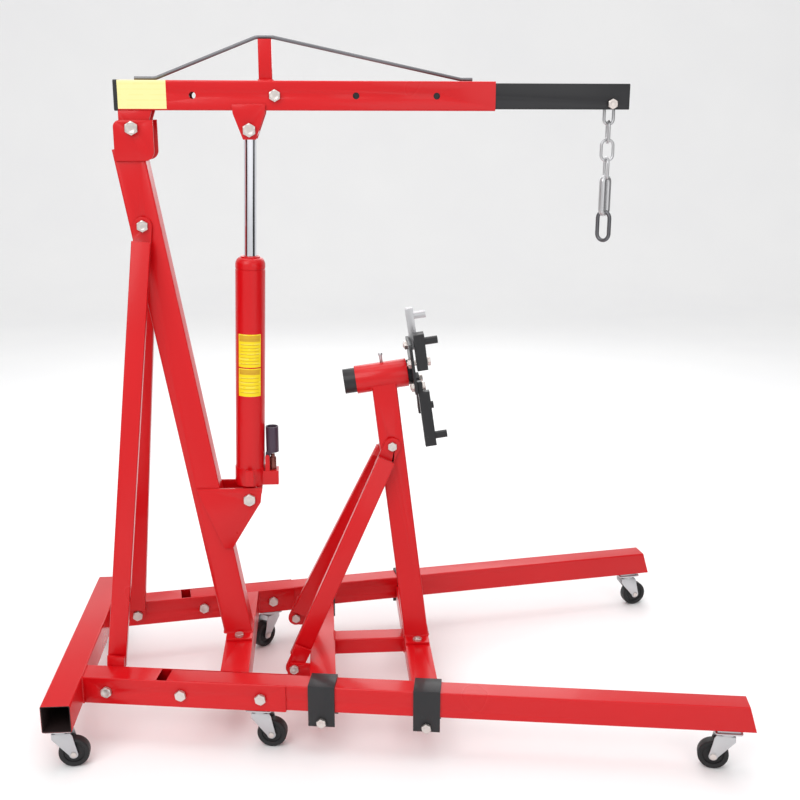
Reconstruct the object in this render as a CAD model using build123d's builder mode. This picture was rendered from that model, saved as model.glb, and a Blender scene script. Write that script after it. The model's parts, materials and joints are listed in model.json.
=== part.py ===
"""Folding shop crane (engine hoist) with a bolted-on engine stand, as separate named pieces.

Millimetres, +X forward along the boom, +Y to the far side, +Z up. The origin is on the floor,
under the middle of the base. The near side is at -Y.
"""

from build123d import *
from math import atan2, cos, degrees, hypot, radians, sin, tan
import os

os.makedirs("parts", exist_ok=True)

# ---- Driving dimensions ---------------------------------------------------------------
# Base frame, of square tube on casters
frame_bottom = 100.0  # height of the frame's underside, which is the casters' overall height
tube_size = 65.0  # rear cross tube and mid cross beam
tube_wall = 3.0
cross_tube_length = 676.0
leg_splay = 9.1  # degrees each leg turns outward
rail_root_y = 185.5  # rail centreline where it leaves the rear cross tube
rail_length = 473.0
rail_roof_length = 176.0  # the rail is open on top beyond this, so the leg can lie in it
leg_width = 52.0
leg_start = 200.0  # distances along the rail line, from the rear cross tube
leg_tip_top = 1492.0
leg_tip_slope = 18.6  # the leg's foot runs this much further than its top
leg_clearance = 0.3
rail_bolt_at = 61.0
leg_pivot_at = 233.0
leg_lock_at = 416.0
mid_beam_from_rear = 409.5

# Mast and its fittings
mast_size = 60.0  # across the frame
mast_depth = 67.0  # fore and aft
mast_foot_shift = 3.5  # mast centreline behind its beam's
mast_bolt_shift = 4.0  # brace bolt behind the mast's centreline
mast_behind_pivot = 20.25  # mast centreline behind the boom pivot, at its height
mast_top_drop = 39.9  # mast top below the boom pivot
foot_plate_length = 130.0
foot_plate_thickness = 6.0
head_plate_rear = 39.5  # head plates, from the boom pivot
head_plate_front = 45.5
head_plate_drop = 69.0
head_plate_rise = 17.0
head_plate_front_corner = 20.0
head_plate_rear_corner = 15.0
shelf_reach = 30.0  # ram shelf plates, from the ram foot
shelf_rise = 28.0
shelf_drop = 123.0
shelf_overlap = 20.0  # of the shelf plates on the mast
shelf_nose_drop = 36.0
shelf_nose_cut = 4.0
shelf_knee_drop = 60.0
shelf_knee_cut = 6.0
foot_bolt_spacing = 100.0
plate_thickness = 6.0
brace_width = 42.0
brace_depth = 20.0
brace_wall = 2.5
brace_inset = 34.0  # from a brace's upper bolt to the end of its tube
brace_foot_inset = 24.0  # the same at its lower bolt
brace_top_offset = 1.1  # sideways, per half of the tube's extra depth over its tongue
brace_bottom_offset = 1.5
mast_brace_drop = 209.3  # upper brace bolt below the boom pivot

# Boom, extension and truss
boom_size = 63.0
boom_wall = 3.0
boom_length = 823.0
boom_pivot_from_rear = 220.5
boom_pivot_height = 1372.0
boom_tail = 33.5  # boom behind its pivot
boom_above_pivot = 68.5  # boom centreline above its pivot
pivot_lug_half = 28.0  # lugs round the boom pivot
pivot_lug_front = 44.0
pivot_lug_nose = 12.0
pivot_lug_drop = 18.0
pivot_lug_bend = 4.0
ram_lug_half = 36.5  # lugs round the ram's top pivot
ram_lug_lap = 12.0  # up the boom's sides
ram_lug_nose = 14.0
ram_lug_drop = 20.0
ram_lug_bend = 6.0
extension_slack = 0.75  # gap on each side inside the boom
lock_bolt_gap = 0.4  # between the lock bolt's ends and the extension
extension_wall = 3.5
extension_length = 820.0
extension_exposed = 300.0
lock_hole_start = 165.5
lock_hole_pitch = 176.0
lock_hole_count = 4
lock_hole_in_use = 1
truss_post_at = 322.0
truss_post_size = 29.0
truss_post_height = 86.0
truss_rod_radius = 4.0
rod_gap = 0.1  # under the rod where it crosses its post
truss_rear_at = 40.0
truss_front_at = 775.0

# Hydraulic ram
ram_top_from_pivot = 251.5
ram_top_drop = 4.0
ram_foot_from_rear = 445.0
ram_foot_height = 518.0
ram_tube_radius = 34.0
ram_bore_radius = 30.0
ram_tube_start = 40.0  # distances along the ram, from its foot pivot
ram_tube_end = 573.0
ram_rod_radius = 14.0
ram_piston_at = 245.0
ram_foot_width = 56.0
ram_lug_radius = 15.0
ram_base_height = 42.0

# Hand pump beside the ram
pump_gap = 1.6  # between the ram's tube and the pump's socket
pump_reach = 170.0  # socket top above the ram's foot
pump_block_radius = 15.0
pump_block_width = 36.0
pump_block_height = 34.0
plunger_radius = 8.0
pump_lever = 12.5  # the plunger's axis to the handle's fulcrum
fulcrum_radius = 3.0
lever_radius = 5.3
ear_inner = 13.2
ear_thickness = 3.5
cheek_inner_y = 9.0
cheek_width = 3.5
socket_length = 62.0
socket_bore = 12.5

# Chain
chain_from_front = 38.0
chain_wire = 3.25
chain_link_inner = 40.6
chain_link_width = 34.0
top_link_wire = 3.5
top_link_inner = 47.0
top_link_width = 28.0
link_gap = 0.2
link_yaws = [86, 4, 92, 12, 54]  # degrees about the vertical, from the top down
hook_bolt_drop = 15.5  # below the extension's centreline
chain_slot_length = 50.0
chain_slot_width = 10.0
ring_wire = 4.5
ring_inner = 57.0
ring_width = 40.0
ring_yaw = -46.0

# Engine stand
stand_beam_width = 60.0
stand_beam_height = 40.0
stand_rear_from_rear = 611.5
stand_front_from_rear = 845.0
stand_centre_width = 50.0
upright_size = 58.0
upright_lean = 7.05
saddle_thickness = 4.0
saddle_drop = 30.0  # saddle plates below the frame's underside
upright_bolt_height = 643.0
stand_lug_y = 137.0
head_tilt = 8.0
head_centre_from_rear = 760.0
head_centre_height = 806.0
head_tube_radius = 33.0
head_tube_length = 122.0
spindle_radius = 29.0
spindle_wall = 5.0
spindle_tail = 28.0
nut_room = 10.0  # between the head tube and the face plate
face_plate_size = 120.0
face_plate_rise = 15.0  # plate centre above the spindle axis
face_plate_thickness = 7.0
arm_width = 25.0
arm_sleeve_radius = 9.0
arm_sleeve_bore = 5.5
index_at = 4.5  # index pin, forward of the head tube's middle
index_radius = 3.5
index_hole_count = 8
index_hole_slack = 0.5  # radial, so that the pin drops in easily
pin_lift = 0.6  # raised pin above the spindle
pin_length = 26.0
pin_head_height = 6.0
pin_head_extra = 1.5

# Casters
wheel_radius = 34.0
wheel_width = 26.0
hub_width = 29.0
axle_radius = 4.0
caster_trail = 26.0
caster_plate = 60.0
caster_plate_thickness = 3.0

# Fits and fasteners
running = 0.06  # radial clearance of a turning or sliding fit
bolt_slack = 0.25  # radial clearance round a fixed bolt
side_gap = 0.5  # between the faces of parts that move past each other
frame_bolt = 7.0  # shank radii
pivot_bolt = 8.0
stand_bolt = 6.0
arm_bolt = 6.0
hex_flats = 1.65  # half the width across flats, head height and nut height, each per shank radius
head_height = 1.25
nut_height = 1.5

# ---- Places worked out from them ------------------------------------------------------
splay_cos = cos(radians(leg_splay))
splay_sin = sin(radians(leg_splay))
leg_tip = leg_tip_top + leg_tip_slope
base_length = tube_size + leg_tip * splay_cos + leg_width / 2 * splay_sin
rear_x = -base_length / 2
cross_front_x = rear_x + tube_size
frame_top = frame_bottom + tube_size
frame_middle = frame_bottom + tube_size / 2
rail_width = leg_width + 2 * (tube_wall + leg_clearance)
leg_bottom = frame_bottom + tube_wall + leg_clearance
mid_beam_x = rear_x + mid_beam_from_rear
mast_foot_z = frame_top + foot_plate_thickness
boom_pivot_x = rear_x + boom_pivot_from_rear
mast_foot_x = mid_beam_x - mast_foot_shift
mast_run = mast_foot_x - boom_pivot_x + mast_behind_pivot
mast_lean = degrees(atan2(mast_run, boom_pivot_height - mast_foot_z))
mast_length = (boom_pivot_height - mast_top_drop - mast_foot_z) / cos(radians(mast_lean))
mast_brace_height = boom_pivot_height - mast_brace_drop
boom_rear_x = boom_pivot_x - boom_tail
boom_centre_z = boom_pivot_height + boom_above_pivot
boom_top_z = boom_centre_z + boom_size / 2
boom_bottom_z = boom_centre_z - boom_size / 2
extension_size = boom_size - 2 * boom_wall - 2 * extension_slack
extension_front_x = boom_rear_x + boom_length + extension_exposed
extension_rear_x = extension_front_x - extension_length
lock_hole_x = [boom_rear_x + lock_hole_start + n * lock_hole_pitch for n in range(lock_hole_count)]
lock_bolt_x = lock_hole_x[lock_hole_in_use]
ram_top = (boom_pivot_x + ram_top_from_pivot, boom_pivot_height - ram_top_drop)
ram_foot = (rear_x + ram_foot_from_rear, ram_foot_height)
ram_angle = degrees(atan2(ram_top[0] - ram_foot[0], ram_top[1] - ram_foot[1]))
ram_length = hypot(ram_top[0] - ram_foot[0], ram_top[1] - ram_foot[1])
pump_lean = pump_reach * tan(radians(ram_angle))
pump_x = ram_foot[0] + ram_tube_radius + pump_block_radius + pump_gap + pump_lean
pump_low = ram_foot_height + 30.0
pump_high = pump_low + pump_block_height
fulcrum = (pump_x - pump_lever, pump_high + 34.0)
plunger_top = pump_high + 38.0
socket_low = pump_high + 44.0
chain_pin = (extension_front_x - chain_from_front, boom_centre_z - hook_bolt_drop)
stand_top = frame_bottom + stand_beam_height
stand_rear_x = rear_x + stand_rear_from_rear
stand_front_x = rear_x + stand_front_from_rear
saddle_offset = leg_width / 2 + leg_clearance + saddle_thickness
sides = {"near": -1, "far": 1}


# ---- Planes ---------------------------------------------------------------------------
def rail_side(side, lateral=0.0):
    """Upright plane along one leg: x runs along the leg, y is height, lateral shifts it outward."""
    across = (side * -splay_sin, splay_cos)
    return Plane(
        origin=(
            cross_front_x + side * lateral * across[0],
            side * rail_root_y + side * lateral * across[1],
            0,
        ),
        x_dir=(splay_cos, side * splay_sin, 0),
        z_dir=(side * splay_sin, -splay_cos, 0),
    )


def moved_along(plane, x, y):
    """The same plane with its origin at x, y in its own coordinates."""
    return plane.shift_origin(plane.from_local_coords((x, y, 0)))


def side_spot(x, z, y=0.0):
    """Upright plane parallel to the boom, centred on a point."""
    return Plane(origin=(x, y, z), x_dir=(1, 0, 0), z_dir=(0, -1, 0))


def rail_y(x, offset=0.0):
    """Distance from the middle plane of a line beside the leg, at x, offset outward from it."""
    return rail_root_y + (x - cross_front_x) * tan(radians(leg_splay)) + offset / splay_cos


def side_plane(y=0.0):
    """Upright plane parallel to the boom, with x forward and y up."""
    return Plane(origin=(0, y, 0), x_dir=(1, 0, 0), z_dir=(0, -1, 0))


def leaning_plane(x, z, lean):
    """Plane across a member that leans backward, with its normal up along the member."""
    a = radians(lean)
    return Plane(origin=(x, 0, z), x_dir=(cos(a), 0, sin(a)), z_dir=(-sin(a), 0, cos(a)))


# ---- Shapes that repeat ---------------------------------------------------------------
def tube_section(across, tall, wall, corner=4.0):
    """Rounded rectangular tube section, drawn in the open sketch."""
    RectangleRounded(across, tall, corner)
    RectangleRounded(across - 2 * wall, tall - 2 * wall, corner - wall / 2, mode=Mode.SUBTRACT)


def bored(plane, radius, depth=500.0):
    """Hole through the open part along the plane's normal, both ways."""
    with BuildSketch(plane) as hole:
        Circle(radius)
    extrude(hole.sketch, amount=depth, both=True, mode=Mode.SUBTRACT)


def hexagon(plane, radius, height):
    """Bolt head or nut for a shank of this radius, standing on the plane."""
    with BuildSketch(plane) as outline:
        RegularPolygon(radius * hex_flats, 6, major_radius=False)
    extrude(outline.sketch, amount=height)


def shank(plane, radius, length):
    """Round shank that runs from the plane along its normal."""
    with BuildSketch(plane) as outline:
        Circle(radius)
    extrude(outline.sketch, amount=length)


def hex_bolt(plane, radius, grip):
    """Hex bolt and nut along the plane's normal, with its grip centred on the plane."""
    hexagon(plane.offset(grip / 2), radius, radius * head_height)
    shank(plane.offset(-grip / 2), radius, grip)
    hexagon(plane.offset(-grip / 2), radius, -radius * nut_height)


def cross_beam(x, width, height, wall, offset):
    """Tube across the frame at x, its ends cut to the splayed legs."""
    for inset, mode in ((0.0, Mode.ADD), (wall, Mode.SUBTRACT)):
        half = width / 2 - inset
        over = 5.0 if inset else 0.0
        rear_y = rail_y(x - half, offset) + over
        front_y = rail_y(x + half, offset) + over
        with BuildSketch(Plane.XY.offset(frame_bottom + inset)) as plan:
            Polygon(
                (x - half, -rear_y),
                (x + half, -front_y),
                (x + half, front_y),
                (x - half, rear_y),
                align=None,
            )
        extrude(plan.sketch, amount=height - 2 * inset, mode=mode)


def export(part, name):
    """Label a finished piece and write its file."""
    part.label = name
    export_step(part, f"parts/{name}.step")


# ---- Rear cross tube and mid cross beam -----------------------------------------------
with BuildPart() as rear_cross_tube:
    with BuildSketch(Plane.XZ.offset(-cross_tube_length / 2)):
        with Locations((rear_x + tube_size / 2, frame_middle)):
            tube_section(tube_size, tube_size, tube_wall)
    extrude(amount=cross_tube_length)
export(rear_cross_tube.part, "rear_cross_tube")

with BuildPart() as mid_cross_beam:
    cross_beam(mid_beam_x, tube_size, tube_size, tube_wall, -rail_width / 2)
    for y in (-foot_bolt_spacing / 2, foot_bolt_spacing / 2):
        bored(Plane(origin=(mid_beam_x, y, frame_top)), stand_bolt + bolt_slack, 12.0)
export(mid_cross_beam.part, "mid_cross_beam")


# ---- Side rails and legs --------------------------------------------------------------
def side_rail(side):
    """Rail welded to the rear cross tube, closed behind and open on top in front."""
    centre = rail_side(side)
    with BuildPart() as rail:
        with BuildSketch(centre):
            Polygon((-12, frame_bottom), (rail_length, frame_bottom), (rail_length, frame_top),
                    (-12, frame_top), align=None)
        extrude(amount=rail_width / 2, both=True)
        edges = rail.edges().filter_by(Axis(centre.origin, centre.x_dir))
        fillet(edges, 2.5)
        with BuildSketch(centre):
            low = frame_bottom + tube_wall
            Polygon((-20, low), (rail_length + 5, low), (rail_length + 5, frame_top - tube_wall),
                    (-20, frame_top - tube_wall), align=None)
            Polygon((rail_roof_length, low), (rail_length + 5, low),
                    (rail_length + 5, frame_top + 5), (rail_roof_length, frame_top + 5), align=None)
        extrude(amount=rail_width / 2 - tube_wall, both=True, mode=Mode.SUBTRACT)
        front = Plane(origin=(cross_front_x, 0, 0), z_dir=(1, 0, 0))
        split(bisect_by=front, keep=Keep.TOP)
        for along in (rail_bolt_at, leg_pivot_at, leg_lock_at):
            bored(moved_along(centre, along, frame_middle), frame_bolt + bolt_slack, 60.0)
    return rail.part


def leg(side):
    """Leg tube lying in the rail, its front end closed and sloped."""
    centre = rail_side(side)
    half = leg_width / 2
    with BuildPart() as tube:
        with BuildSketch(centre):
            Polygon((leg_start, leg_bottom), (leg_tip, leg_bottom), (leg_tip_top, frame_top),
                    (leg_start, frame_top), align=None)
        extrude(amount=half, both=True)
        fillet(tube.edges().filter_by(Axis(centre.origin, centre.x_dir)), 3.5)
        with BuildSketch(centre):
            low = leg_bottom + tube_wall
            high = frame_top - tube_wall
            Polygon((leg_start - 5, low), (leg_tip - 2 * tube_wall, low),
                    (leg_tip_top - tube_wall, high), (leg_start - 5, high), align=None)
        extrude(amount=half - tube_wall, both=True, mode=Mode.SUBTRACT)
        for along in (leg_pivot_at, leg_lock_at):
            bored(moved_along(centre, along, frame_middle), frame_bolt + bolt_slack, 60.0)
    return tube.part


for name, side in sides.items():
    export(side_rail(side), f"side_rail_{name}")
    export(leg(side), f"leg_{name}")

# ---- Mast -----------------------------------------------------------------------------
mast_base = leaning_plane(mast_foot_x, mast_foot_z, mast_lean)
with BuildPart() as mast:
    with BuildSketch(mast_base.offset(-30)):
        tube_section(mast_depth, mast_size, tube_wall)
    extrude(amount=mast_length + 30)
    split(bisect_by=Plane.XY.offset(mast_foot_z - 0.5), keep=Keep.TOP)
    with BuildSketch(Plane.XY.offset(frame_top)):
        with Locations((mid_beam_x, 0)):
            RectangleRounded(tube_size - 2, foot_plate_length, 4)
    extrude(amount=foot_plate_thickness)
    for y in (-foot_bolt_spacing / 2, foot_bolt_spacing / 2):
        bored(Plane(origin=(mid_beam_x, y, frame_top)), stand_bolt + bolt_slack, 20.0)
    mast_bolt_x = mast_foot_x - (mast_brace_height - mast_foot_z) * tan(radians(mast_lean)) - mast_bolt_shift
    mast_bolt = side_spot(mast_bolt_x, mast_brace_height)
    bored(mast_bolt, frame_bolt + bolt_slack, 60.0)
export(mast.part, "mast")

head_rear = boom_pivot_x - head_plate_rear
head_front = boom_pivot_x + head_plate_front
head_low = boom_pivot_height - head_plate_drop
head_high = boom_pivot_height + head_plate_rise
shelf_front = ram_foot[0] + shelf_reach
shelf_top = ram_foot_height + shelf_rise
shelf_low = ram_foot_height - shelf_drop
with BuildPart() as mast_plates:
    for side in (-1, 1):
        face = side_plane(-side * mast_size / 2)
        out = side * plate_thickness
        with BuildSketch(face):
            Polygon((head_rear, head_high), (head_rear, head_low), (head_front, head_low),
                    (head_front, head_high), align=None)
            fillet(vertices().group_by(Axis.X)[-1].sort_by(Axis.Y)[0], head_plate_front_corner)
            fillet(vertices().group_by(Axis.X)[0].sort_by(Axis.Y)[-1], head_plate_rear_corner)
            with Locations((boom_pivot_x, boom_pivot_height)):
                Circle(pivot_bolt + bolt_slack, mode=Mode.SUBTRACT)
        extrude(amount=out)
        slope = tan(radians(mast_lean))
        mast_front_low = mast_foot_x + mast_depth / 2 - (shelf_low - mast_foot_z) * slope
        mast_middle_top = mast_foot_x - (shelf_top - mast_foot_z) * slope
        with BuildSketch(face):
            Polygon(
                (mast_middle_top - shelf_overlap, shelf_top),
                (shelf_front, shelf_top),
                (shelf_front - shelf_nose_cut, shelf_top - shelf_nose_drop),
                (ram_foot[0] - shelf_knee_cut, ram_foot_height - shelf_knee_drop),
                (mast_front_low, shelf_low),
                (mast_front_low - shelf_overlap, shelf_low),
                align=None,
            )
            with Locations(ram_foot):
                Circle(pivot_bolt + bolt_slack, mode=Mode.SUBTRACT)
        extrude(amount=out)
export(mast_plates.part, "mast_plates")


# ---- Braces ---------------------------------------------------------------------------
def brace(side, top, bottom, top_plane, bottom_plane, hole_radius):
    """Tube from one bolt to another, with a flat tongue round each bolt.

    top and bottom are the tongues' centres, on planes parallel to the faces they bolt to. The
    tube stands outward of the top tongue and inward of the bottom one.
    """
    offset = Vector(0, side * (brace_depth - plate_thickness) / 2, 0)
    start, end = Vector(*top), Vector(*bottom)
    run = (end - offset * brace_bottom_offset) - (start + offset * brace_top_offset)
    across = Vector(0, 1, 0).cross(run)
    first = start + offset * brace_top_offset + run.normalized() * brace_inset
    section = Plane(origin=first, x_dir=across, z_dir=run)
    tongue = run.normalized() * (brace_inset + 22.0)
    with BuildPart() as strut:
        with BuildSketch(section):
            tube_section(brace_width, brace_depth, brace_wall, 3.0)
        extrude(amount=run.length - brace_inset - brace_foot_inset)
        for plane, place, way in ((top_plane, start, tongue), (bottom_plane, end, tongue * -1)):
            with BuildSketch(plane):
                near = plane.to_local_coords(place)
                far = plane.to_local_coords(place + way)
                with BuildLine():
                    Line((near.X, near.Y), (far.X, far.Y))
                trace(line_width=brace_width - 2)
                with Locations((near.X, near.Y)):
                    Circle(brace_width / 2 - 1)
            extrude(amount=plate_thickness / 2, both=True)
        for plane, place in ((top_plane, start), (bottom_plane, end)):
            bored(plane.shift_origin(place), hole_radius, 30.0)
    return strut.part


mast_tongue_y = mast_size / 2 + plate_thickness / 2
rail_tongue = -(rail_width / 2 + plate_thickness / 2)
for name, side in sides.items():
    high = (mast_bolt_x, side * mast_tongue_y, mast_brace_height)
    low_plane = rail_side(side, rail_tongue)
    low = low_plane.from_local_coords((rail_bolt_at, frame_middle, 0))
    high_plane = side_plane(side * mast_tongue_y)
    export(brace(side, high, low, high_plane, low_plane, frame_bolt + bolt_slack), f"mast_brace_{name}")

# ---- Boom -----------------------------------------------------------------------------
boom_end = Plane(origin=(boom_rear_x, 0, boom_centre_z), x_dir=(0, 1, 0), z_dir=(1, 0, 0))
with BuildPart() as boom_tube:
    with BuildSketch(boom_end):
        tube_section(boom_size, boom_size, boom_wall)
    extrude(amount=boom_length)
    for x in lock_hole_x:
        bored(side_spot(x, boom_centre_z), frame_bolt + bolt_slack, 60.0)
export(boom_tube.part, "boom_tube")

lug_outer = mast_size / 2 - side_gap
with BuildPart() as boom_lugs:
    for side in (-1, 1):
        with BuildSketch(side_plane(-side * lug_outer)):
            with BuildLine():
                Polyline(
                    (boom_pivot_x - pivot_lug_half, boom_bottom_z),
                    (boom_pivot_x + pivot_lug_front, boom_bottom_z),
                    (boom_pivot_x + pivot_lug_half + 2, boom_pivot_height - pivot_lug_bend),
                    (boom_pivot_x + pivot_lug_nose, boom_pivot_height - pivot_lug_drop),
                    (boom_pivot_x - pivot_lug_nose, boom_pivot_height - pivot_lug_drop),
                    (boom_pivot_x - pivot_lug_half, boom_pivot_height - pivot_lug_bend),
                    close=True,
                )
            make_face()
            with Locations((boom_pivot_x, boom_pivot_height)):
                Circle(pivot_bolt + running, mode=Mode.SUBTRACT)
        extrude(amount=-side * plate_thickness)
        with BuildSketch(side_plane(-side * boom_size / 2)):
            with BuildLine():
                Polyline(
                    (ram_top[0] - ram_lug_half, boom_bottom_z + ram_lug_lap),
                    (ram_top[0] + ram_lug_half, boom_bottom_z + ram_lug_lap),
                    (ram_top[0] + ram_lug_half - 2, boom_bottom_z - ram_lug_bend),
                    (ram_top[0] + ram_lug_nose, ram_top[1] - ram_lug_drop),
                    (ram_top[0] - ram_lug_nose, ram_top[1] - ram_lug_drop),
                    (ram_top[0] - ram_lug_half + 2, boom_bottom_z - ram_lug_bend),
                    close=True,
                )
            make_face()
            with Locations(ram_top):
                Circle(pivot_bolt + running, mode=Mode.SUBTRACT)
        extrude(amount=side * plate_thickness)
export(boom_lugs.part, "boom_lugs")

post_x = boom_rear_x + truss_post_at
post_top = boom_top_z + truss_post_height
with BuildPart() as truss_post:
    with BuildSketch(Plane.XY.offset(boom_top_z)):
        with Locations((post_x, 0)):
            tube_section(truss_post_size, truss_post_size, 2.5, 3.0)
    extrude(amount=truss_post_height)
export(truss_post.part, "truss_post")

rod_low = boom_top_z + truss_rod_radius
rod_high = post_top + truss_rod_radius + rod_gap
rod_rear = boom_rear_x + truss_rear_at
rod_front = boom_rear_x + truss_front_at
with BuildPart() as truss_rod:
    with BuildLine(side_plane()) as rod_path:
        FilletPolyline(
            (rod_rear, rod_low),
            (rod_rear + 45, rod_low),
            (post_x - 18, rod_high),
            (post_x + 18, rod_high),
            (rod_front - 25, rod_low),
            (rod_front, rod_low),
            radius=28,
        )
    with BuildSketch(Plane(origin=rod_path.line @ 0, z_dir=rod_path.line % 0)):
        Circle(truss_rod_radius)
    sweep()
export(truss_rod.part, "truss_rod")

with BuildPart() as reach_lock_bolt:
    for side in (-1, 1):
        shank_start = extension_size / 2 + lock_bolt_gap
        shank(
            side_spot(lock_bolt_x, boom_centre_z, side * shank_start),
            frame_bolt,
            -side * (boom_size / 2 - shank_start),
        )
        hexagon(
            side_spot(lock_bolt_x, boom_centre_z, side * boom_size / 2),
            frame_bolt,
            -side * frame_bolt * head_height,
        )
export(reach_lock_bolt.part, "reach_lock_bolt")

# ---- Boom extension and chain ---------------------------------------------------------
extension_end = Plane(origin=(extension_rear_x, 0, boom_centre_z), x_dir=(0, 1, 0), z_dir=(1, 0, 0))
with BuildPart() as boom_extension:
    with BuildSketch(extension_end):
        tube_section(extension_size, extension_size, extension_wall, 3.5)
    extrude(amount=extension_length)
    bored(side_spot(lock_bolt_x, boom_centre_z), frame_bolt + bolt_slack, 60.0)
    bored(side_spot(*chain_pin), stand_bolt + bolt_slack, 60.0)
    with BuildSketch(Plane.XY.offset(chain_pin[1])):
        with Locations((chain_pin[0], 0)):
            RectangleRounded(chain_slot_length, chain_slot_width, chain_slot_width / 2 - 0.1)
    extrude(amount=-extension_size, mode=Mode.SUBTRACT)
export(boom_extension.part, "boom_extension")

with BuildPart() as hook_bolt:
    hex_bolt(side_spot(*chain_pin), stand_bolt, extension_size)
export(hook_bolt.part, "hook_bolt")


def link(top, inner, width, wire, yaw):
    """One welded oval link hanging from its inner top, turned by yaw about the vertical."""
    centre_z = top - inner / 2
    radius = width / 2 - wire
    half = inner / 2 + wire - radius
    a = radians(yaw)
    plane = Plane(origin=(chain_pin[0], 0, centre_z), x_dir=(cos(a), sin(a), 0), z_dir=(sin(a), -cos(a), 0))
    with BuildLine(plane) as loop:
        Line((-radius, half), (-radius, -half))
        CenterArc((0, -half), radius, 180, 180)
        Line((radius, -half), (radius, half))
        CenterArc((0, half), radius, 0, 180)
    with BuildSketch(Plane(origin=loop.line @ 0, z_dir=loop.line % 0)) as section:
        Circle(wire)
    sweep(section.sketch, path=loop.line)


hang = chain_pin[1] + stand_bolt + link_gap
with BuildPart() as chain_links:
    link(hang, top_link_inner, top_link_width, top_link_wire, 0)
    hang -= top_link_inner - link_gap
    for yaw in link_yaws:
        link(hang, chain_link_inner, chain_link_width, chain_wire, yaw)
        hang -= chain_link_inner - link_gap
export(chain_links.part, "chain_links")

with BuildPart() as load_ring:
    link(hang, ring_inner, ring_width, ring_wire, ring_yaw)
export(load_ring.part, "load_ring")

# ---- Ram ------------------------------------------------------------------------------
ram_axis = leaning_plane(ram_foot[0], ram_foot[1], -ram_angle)
with BuildPart() as ram_rod:
    with BuildSketch(ram_axis.offset(ram_piston_at + 12)):
        Circle(ram_rod_radius)
    extrude(amount=ram_length - ram_piston_at - 12)
    with BuildSketch(side_plane()):
        with Locations(ram_top):
            Circle(20)
    extrude(amount=24, both=True)
    bored(side_spot(*ram_top), pivot_bolt + running, 60.0)
    with BuildSketch(ram_axis.offset(ram_piston_at - 12)):
        Circle(ram_bore_radius - running)
    extrude(amount=24)
export(ram_rod.part, "ram_rod")

with BuildPart() as ram_cylinder:
    with BuildSketch(ram_axis.offset(ram_tube_start + 10)):
        Circle(ram_tube_radius)
        Circle(ram_bore_radius, mode=Mode.SUBTRACT)
    extrude(amount=ram_tube_end - ram_tube_start - 10)
    with BuildSketch(ram_axis.offset(ram_tube_end - 22)):
        Circle(ram_bore_radius)
        Circle(ram_rod_radius + running, mode=Mode.SUBTRACT)
    extrude(amount=22)
    chamfer(ram_cylinder.faces().sort_by(Axis.Z)[-1].outer_wire().edges(), 5)
export(ram_cylinder.part, "ram_cylinder")

with BuildPart() as ram_base:
    with BuildSketch(ram_axis.offset(ram_tube_start - 8)):
        Circle(ram_tube_radius + 1.5)
    extrude(amount=ram_base_height)
    with BuildSketch(Plane.XY.offset(pump_low)):
        with Locations((pump_x - pump_block_radius, 0)):
            Rectangle(2 * pump_block_radius, pump_block_width)
        with Locations((pump_x, 0)):
            Rectangle(2 * pump_block_radius - 4, pump_block_width)
    extrude(amount=pump_high - pump_low)
    for side in (-1, 1):
        ear = side_plane(side * (ear_inner + ear_thickness / 2))
        with BuildSketch(ear):
            with BuildLine():
                Line((pump_x - pump_lever, pump_high - 6), (pump_x - pump_lever, pump_high + 10))
                Line((pump_x - pump_lever, pump_high + 10), fulcrum)
            trace(line_width=2 * lever_radius)
            with Locations(fulcrum):
                Circle(lever_radius)
        extrude(amount=ear_thickness / 2, both=True)
    with BuildSketch(side_plane()):
        with Locations(fulcrum):
            Circle(fulcrum_radius)
    extrude(amount=ear_inner + ear_thickness, both=True)
    with BuildSketch(ram_axis.offset(ram_tube_start + 10)):
        Circle(ram_tube_radius)
    extrude(amount=ram_tube_end, mode=Mode.SUBTRACT)
    with BuildSketch(side_plane()):
        with Locations(ram_foot):
            Circle(ram_lug_radius)
        with Locations((ram_foot[0], ram_foot_height + 17)):
            Rectangle(2 * ram_lug_radius, 34)
    extrude(amount=ram_foot_width / 2, both=True)
    bored(side_spot(*ram_foot), pivot_bolt + 1.5, 60.0)
    with BuildSketch(Plane.XY.offset(pump_low + 8)):
        with Locations((pump_x, 0)):
            Circle(plunger_radius + running)
    extrude(amount=pump_high, mode=Mode.SUBTRACT)
export(ram_base.part, "ram_base")

with BuildPart() as pump_plunger:
    with BuildSketch(Plane.XY.offset(pump_low + 24)):
        with Locations((pump_x, 0)):
            Circle(plunger_radius)
    extrude(amount=plunger_top - 8 - pump_low - 24)
    with BuildSketch(Plane.XY.offset(plunger_top - 8)):
        with Locations((pump_x, 0)):
            Circle(plunger_radius - 3)
    extrude(amount=8)
export(pump_plunger.part, "pump_plunger")

with BuildPart() as pump_handle_socket:
    with BuildSketch(Plane.XY.offset(socket_low)):
        with Locations((pump_x, 0)):
            Circle(socket_bore + 2.5)
    extrude(amount=socket_length)
    for side in (-1, 1):
        with BuildSketch(side_plane(side * (cheek_inner_y + cheek_width / 2))):
            with BuildLine():
                Line(fulcrum, (pump_x - pump_lever + 6, socket_low + 3))
            trace(line_width=2 * lever_radius)
            with Locations(fulcrum):
                Circle(lever_radius)
                Circle(fulcrum_radius + running, mode=Mode.SUBTRACT)
        extrude(amount=cheek_width / 2, both=True)
    with BuildSketch(Plane.XY.offset(socket_low + 10)):
        with Locations((pump_x, 0)):
            Circle(socket_bore)
    extrude(amount=socket_length, mode=Mode.SUBTRACT)
export(pump_handle_socket.part, "pump_handle_socket")

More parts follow.
